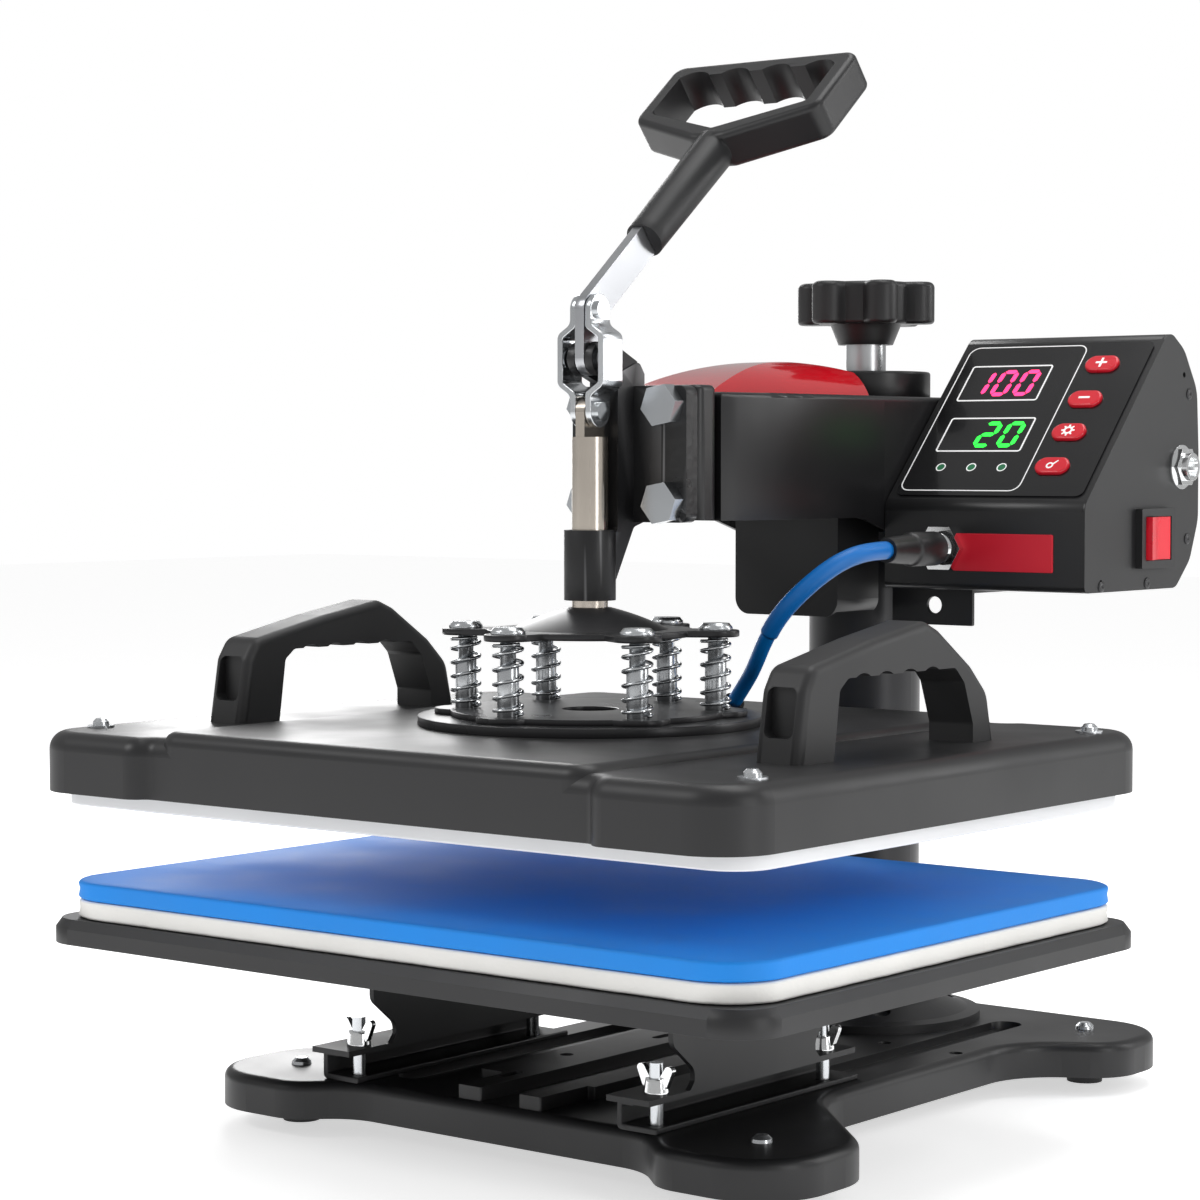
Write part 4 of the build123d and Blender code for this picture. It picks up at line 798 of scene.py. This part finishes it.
@dataclass
class ControlPanel:
    """What is printed and lit on the sloping panel of the control box."""

    pieces: Pieces
    film: float = 0.8
    glass: float = 0.04
    sink: float = 0.05
    print_lift: float = 0.1
    digit_gap: float = 5.2
    line: float = 0.55
    key_top: float = 2.6
    key_column: float = 82.0
    key_rows: dict[str, float] = field(
        default_factory=lambda: {"plus": 89.6, "minus": 66.5, "settings": 45.1, "confirm": 22.6}
    )
    lamp_row: float = 23.0
    lamp_columns: tuple[float, ...] = (21.4, 38.2, 54.8)
    face: Face = field(
        default_factory=lambda: Face((0.0468, PRESS_Y + 0.165, 0.282), (1, 0, 0), (0, 0.68922, 0.72455))
    )

    def lines(self, name: str, outline: Outline, width: float) -> None:
        """Print one closed white line.

        Args:
            name: of the piece.
            outline: the line, in millimetres.
            width: of the line, in millimetres.
        """
        strips = self.pieces.ring_band(outline, width)
        low, high = self.film - self.sink, self.film + self.print_lift
        self.pieces.plate(name, self.face, strips, low, high, PRINT_WHITE_PAINTED_GLOW, "arm", "panel_black")

    def digit(self, number: int, left: float, low: float, width: float, height: float) -> list[Outline]:
        """The lit bars of one seven-bar digit, leaning to the right.

        Args:
            number: the digit, 0 to 9.
            left: its left side.
            low: its lower side.
            width: of the digit.
            height: of the digit.

        Returns:
            One outline for each lit bar.
        """
        lit = {0: "abcdef", 1: "bc", 2: "abged", 3: "abgcd", 4: "fgbc", 5: "afgcd"}
        lit |= {6: "afgcde", 7: "abc", 8: "abcdefg", 9: "abcdfg"}
        ends = {
            "a": ((0, 1), (1, 1)),
            "b": ((1, 1), (1, 0.5)),
            "c": ((1, 0.5), (1, 0)),
            "d": ((0, 0), (1, 0)),
            "e": ((0, 0.5), (0, 0)),
            "f": ((0, 1), (0, 0.5)),
            "g": ((0, 0.5), (1, 0.5)),
        }
        thick, gap, lean = 1.2, 0.3, 0.12
        bars: list[Outline] = []
        for bar in lit[number]:
            (x0, y0), (x1, y1) = ends[bar]
            start = Vector((left + x0 * width, low + y0 * height))
            stop = Vector((left + x1 * width, low + y1 * height))
            way = (stop - start).normalized()
            side = Vector((-way.y, way.x)) * thick
            start, stop = start + way * gap, stop - way * gap
            corners = [start, start + way * thick + side, stop - way * thick + side, stop]
            corners += [stop - way * thick - side, start + way * thick - side]
            bars.append([(c.x + lean * (c.y - low), c.y) for c in corners])
        return bars

    def numbers(self) -> None:
        """Light the two read-outs."""
        for text, left, low, width, height, finish, name in (
            ("100", 16.0, 71.0, 7.2, 15.0, GLOW_PINK, "heat_digits"),
            ("20", 33.5, 37.0, 7.6, 14.5, GLOW_GREEN, "time_digits"),
        ):
            bars: list[Outline] = []
            for place, character in enumerate(text):
                start = left + place * (width + self.digit_gap)
                bars += self.digit(int(character), start, low, width, height)
            under, over = self.film - self.sink, self.film + self.print_lift
            self.pieces.plate(name, self.face, bars, under, over, finish, "arm", "panel_black")

    def gear(self, middle: tuple[float, float]) -> list:
        """Draw a gear: a ring with eight narrow teeth.

        Args:
            middle: its centre, in millimetres.

        Returns:
            The outlines of its parts.
        """
        parts: list = self.pieces.ring_band(circle(middle, 1.9, 16), 1.0)
        inner, outer, wide, narrow = 2.4, 3.5, 0.5, 0.4
        for k in range(8):
            u, v = math.cos(math.pi * k / 4), math.sin(math.pi * k / 4)
            corners = ((inner, wide), (outer, narrow), (outer, -narrow), (inner, -wide))
            parts.append([(middle[0] + u * r - v * w, middle[1] + v * r + u * w) for r, w in corners])
        return parts

    def symbols(self) -> None:
        """Print the signs on the four keys."""
        p, rows = self.key_column, self.key_rows
        long, thin = 3.0, 0.6
        across, upright = (p - long, p + long), (p - thin, p + thin)
        plus = [rounded(across[0], rows["plus"] - thin, across[1], rows["plus"] + thin, 0.2, 1)]
        plus.append(rounded(upright[0], rows["plus"] - long, upright[1], rows["plus"] + long, 0.2, 1))
        minus = [rounded(across[0], rows["minus"] - thin, across[1], rows["minus"] + thin, 0.2, 1)]
        q = rows["confirm"]
        drop: list = self.pieces.ring_band(circle((p - 0.6, q), 1.5, 14), 0.8)
        drop.append([(p + 0.6, q + 1.2), (p + 2.6, q + 3.4), (p + 3.1, q + 2.9), (p + 1.2, q + 0.6)])
        gear = self.gear((p, rows["settings"]))
        low, high = self.key_top - self.sink, self.key_top + self.print_lift
        for name, marks in (("plus", plus), ("minus", minus), ("settings", gear), ("confirm", drop)):
            body = f"key_{name}"
            self.pieces.plate(f"sign_{name}", self.face, marks, low, high, PRINT_WHITE_PAINTED_GLOW, body, "key_red")

    def build(self) -> None:
        """Print the panel, light its numbers and mark its keys."""
        heat_window = rounded(11, 67, 55, 90, WINDOW_ROUND)
        time_window = rounded(14, 33.5, 60, 55, WINDOW_ROUND)
        low, high = self.film, self.film + self.glass
        windows = [heat_window, time_window]
        self.pieces.plate("window_glass", self.face, windows, low, high, PANEL, "arm", "panel_black")
        self.lines("print_border", rounded(4.6, 8, 69.5, 103, 5), self.line)
        self.lines("print_heat_window", heat_window, self.line * 1.5)
        self.lines("print_time_window", time_window, self.line * 1.5)
        for place, p in enumerate(self.lamp_columns):
            self.lines(f"print_lamp_{place + 1}", circle((p, self.lamp_row), 2.3, 18), self.line)
        self.numbers()
        self.symbols()


@dataclass
class BoxTrim:
    """Small trim of the control box: the red plate and the side screws."""

    pieces: Pieces
    right: float = 0.1548
    screws: tuple[tuple[float, float], ...] = (
        (0.263, 0.334),
        (0.262, 0.265),
        (0.180, 0.2446),
        (0.223, 0.245),
    )

    def build(self) -> None:
        """Make the plate and the side screws."""
        front = Face((0, PRESS_Y + 0.165, 0), (1, 0, 0), (0, 0, 1))
        plate = [rounded(84.7, 251, 138.4, 268.5, 0.8)]
        self.pieces.plate("red_plate", front, plate, 0, 0.5, PLATE_RED, "arm", "key_red", edge=0.2)
        for number, (y, z) in enumerate(self.screws):
            seat = Face((self.right, PRESS_Y + y, z), (0, 1, 0), (0, 0, 1))
            profile = [(2.7, 0.0), (2.6, 0.35), (2.0, 0.6), (0.9, 0.6), (0.7, 0.25), (0.1, 0.25)]
            points, faces = self.pieces.turned(seat, profile)
            self.pieces.mesh(f"side_screw_{number + 1}", points, faces, DARK_STEEL, "arm", "base_black")


class Studio:
    """The camera, the floor and the lights."""

    def camera(self) -> None:
        """Set the photograph's camera."""
        data = bpy.data.cameras.new("camera")
        data.lens, data.sensor_width = 92.57, 36.0
        item = bpy.data.objects.new("camera", data)
        item.location = (0.8568, -1.1258, 0.3032)
        way = Vector((0.00764, -0.06545, 0.241)) - item.location
        item.rotation_euler = way.to_track_quat("-Z", "Y").to_euler()
        bpy.context.scene.collection.objects.link(item)
        bpy.context.scene.camera = item

    def floor(self, materials: Materials) -> None:
        """Lay a plain pale floor.

        Args:
            materials: makes its material.
        """
        finish = Finish(
            "floor", (0.93, 0.93, 0.93), Grain.SMOOTH, roughness=(0.7, 0.8), shade=0.01, glow=0.62
        )
        data = bpy.data.meshes.new("floor")
        half = 6.0
        corners = [(-half, -half, 0), (half, -half, 0), (half, half, 0), (-half, half, 0)]
        data.from_pydata(corners, [], [(0, 1, 2, 3)])
        data.materials.append(materials.get(finish))
        item = bpy.data.objects.new("floor", data)
        bpy.context.scene.collection.objects.link(item)

    def lamp(self, name: str, place: Point, size: tuple[float, float], power: float, aim: Point) -> None:
        """Hang one soft rectangular light.

        Args:
            name: of the light.
            place: where it hangs.
            size: width and height in metres.
            power: in watts.
            aim: the point that it faces.
        """
        data = bpy.data.lights.new(name, "AREA")
        data.shape = "RECTANGLE"
        data.size, data.size_y = size
        data.energy = power
        item = bpy.data.objects.new(name, data)
        item.location = place
        item.rotation_euler = (Vector(aim) - Vector(place)).to_track_quat("-Z", "Y").to_euler()
        bpy.context.scene.collection.objects.link(item)

    def world(self) -> None:
        """White background for the camera and reflections, softer light for the rest."""
        scene = bpy.context.scene
        scene.world = bpy.data.worlds.new("studio")
        scene.world.use_nodes = True
        nodes, links = scene.world.node_tree.nodes, scene.world.node_tree.links
        nodes.clear()
        out = nodes.new("ShaderNodeOutputWorld")
        white, soft = nodes.new("ShaderNodeBackground"), nodes.new("ShaderNodeBackground")
        white.inputs["Color"].default_value = (1, 1, 1, 1)
        soft.inputs["Color"].default_value = (1, 1, 1, 1)
        soft.inputs["Strength"].default_value = 0.42
        rays, pick = nodes.new("ShaderNodeLightPath"), nodes.new("ShaderNodeMixShader")
        links.new(rays.outputs["Is Camera Ray"], pick.inputs["Fac"])
        links.new(soft.outputs["Background"], pick.inputs[1])
        links.new(white.outputs["Background"], pick.inputs[2])
        links.new(pick.outputs["Shader"], out.inputs["Surface"])
        scene.view_settings.view_transform = "Standard"

    def lights(self) -> None:
        """Hang the lamps."""
        middle = (0.0, 0.0, 0.25)
        self.lamp("key", (-0.9, -1.3, 1.5), (0.7, 0.7), 9, middle)
        self.lamp("right", (1.5, -0.2, 0.6), (0.3, 1.0), 4, middle)
        self.lamp("top", (0.1, 0.3, 1.7), (1.2, 0.6), 9, middle)
        self.lamp("back_left", (-1.2, 1.0, 0.8), (0.3, 1.2), 7, middle)
        self.lamp("back_right", (1.1, 1.2, 0.9), (0.3, 1.2), 6, middle)


class HeatPress:
    """The whole press: CAD nodes with their finishes and the added pieces."""

    def __init__(self, frame: dict) -> None:
        """Keep the frame and make the shared helpers.
        """
        self.frame = frame
        self.materials = Materials()
        self.pieces = Pieces(self.materials)

    def dress(self) -> None:
        """Give every CAD node its finish and its broken edges."""
        for finish, names in NODE_FINISHES.items():
            for name in names:
                node = self.frame["nodes"][name]
                node.data.materials.clear()
                node.data.materials.append(self.materials.get(finish))
                LOG.info("node %s: %s", name, finish.name)
        for width, names in EDGE_BREAKS.items():
            for name in names:
                item = self.frame["nodes"][name]
                weld = item.modifiers.new("weld", "WELD")
                weld.merge_threshold = WELD_DISTANCE
                bevel = item.modifiers.new("edge", "BEVEL")
                bevel.width = width
                bevel.segments = 2
                bevel.limit_method = "ANGLE"
                bevel.angle_limit = SHARP_ANGLE

    def build(self) -> None:
        """Dress the frame and make every added piece."""
        Cable(self.pieces).build()
        self.dress()
        FoamPads(self.pieces).build()
        SpringSet(self.pieces).build()
        ControlPanel(self.pieces).build()
        BoxTrim(self.pieces).build()


def main() -> None:
    """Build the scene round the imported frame."""
    logging.basicConfig(level=logging.INFO)
    for item in list(bpy.data.objects):
        bpy.data.objects.remove(item)
    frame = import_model()
    studio = Studio()
    studio.camera()
    press = HeatPress(frame)
    press.build()
    studio.floor(press.materials)
    studio.world()
    studio.lights()
    bpy.context.view_layer.update()


if __name__ == "__main__":
    main()
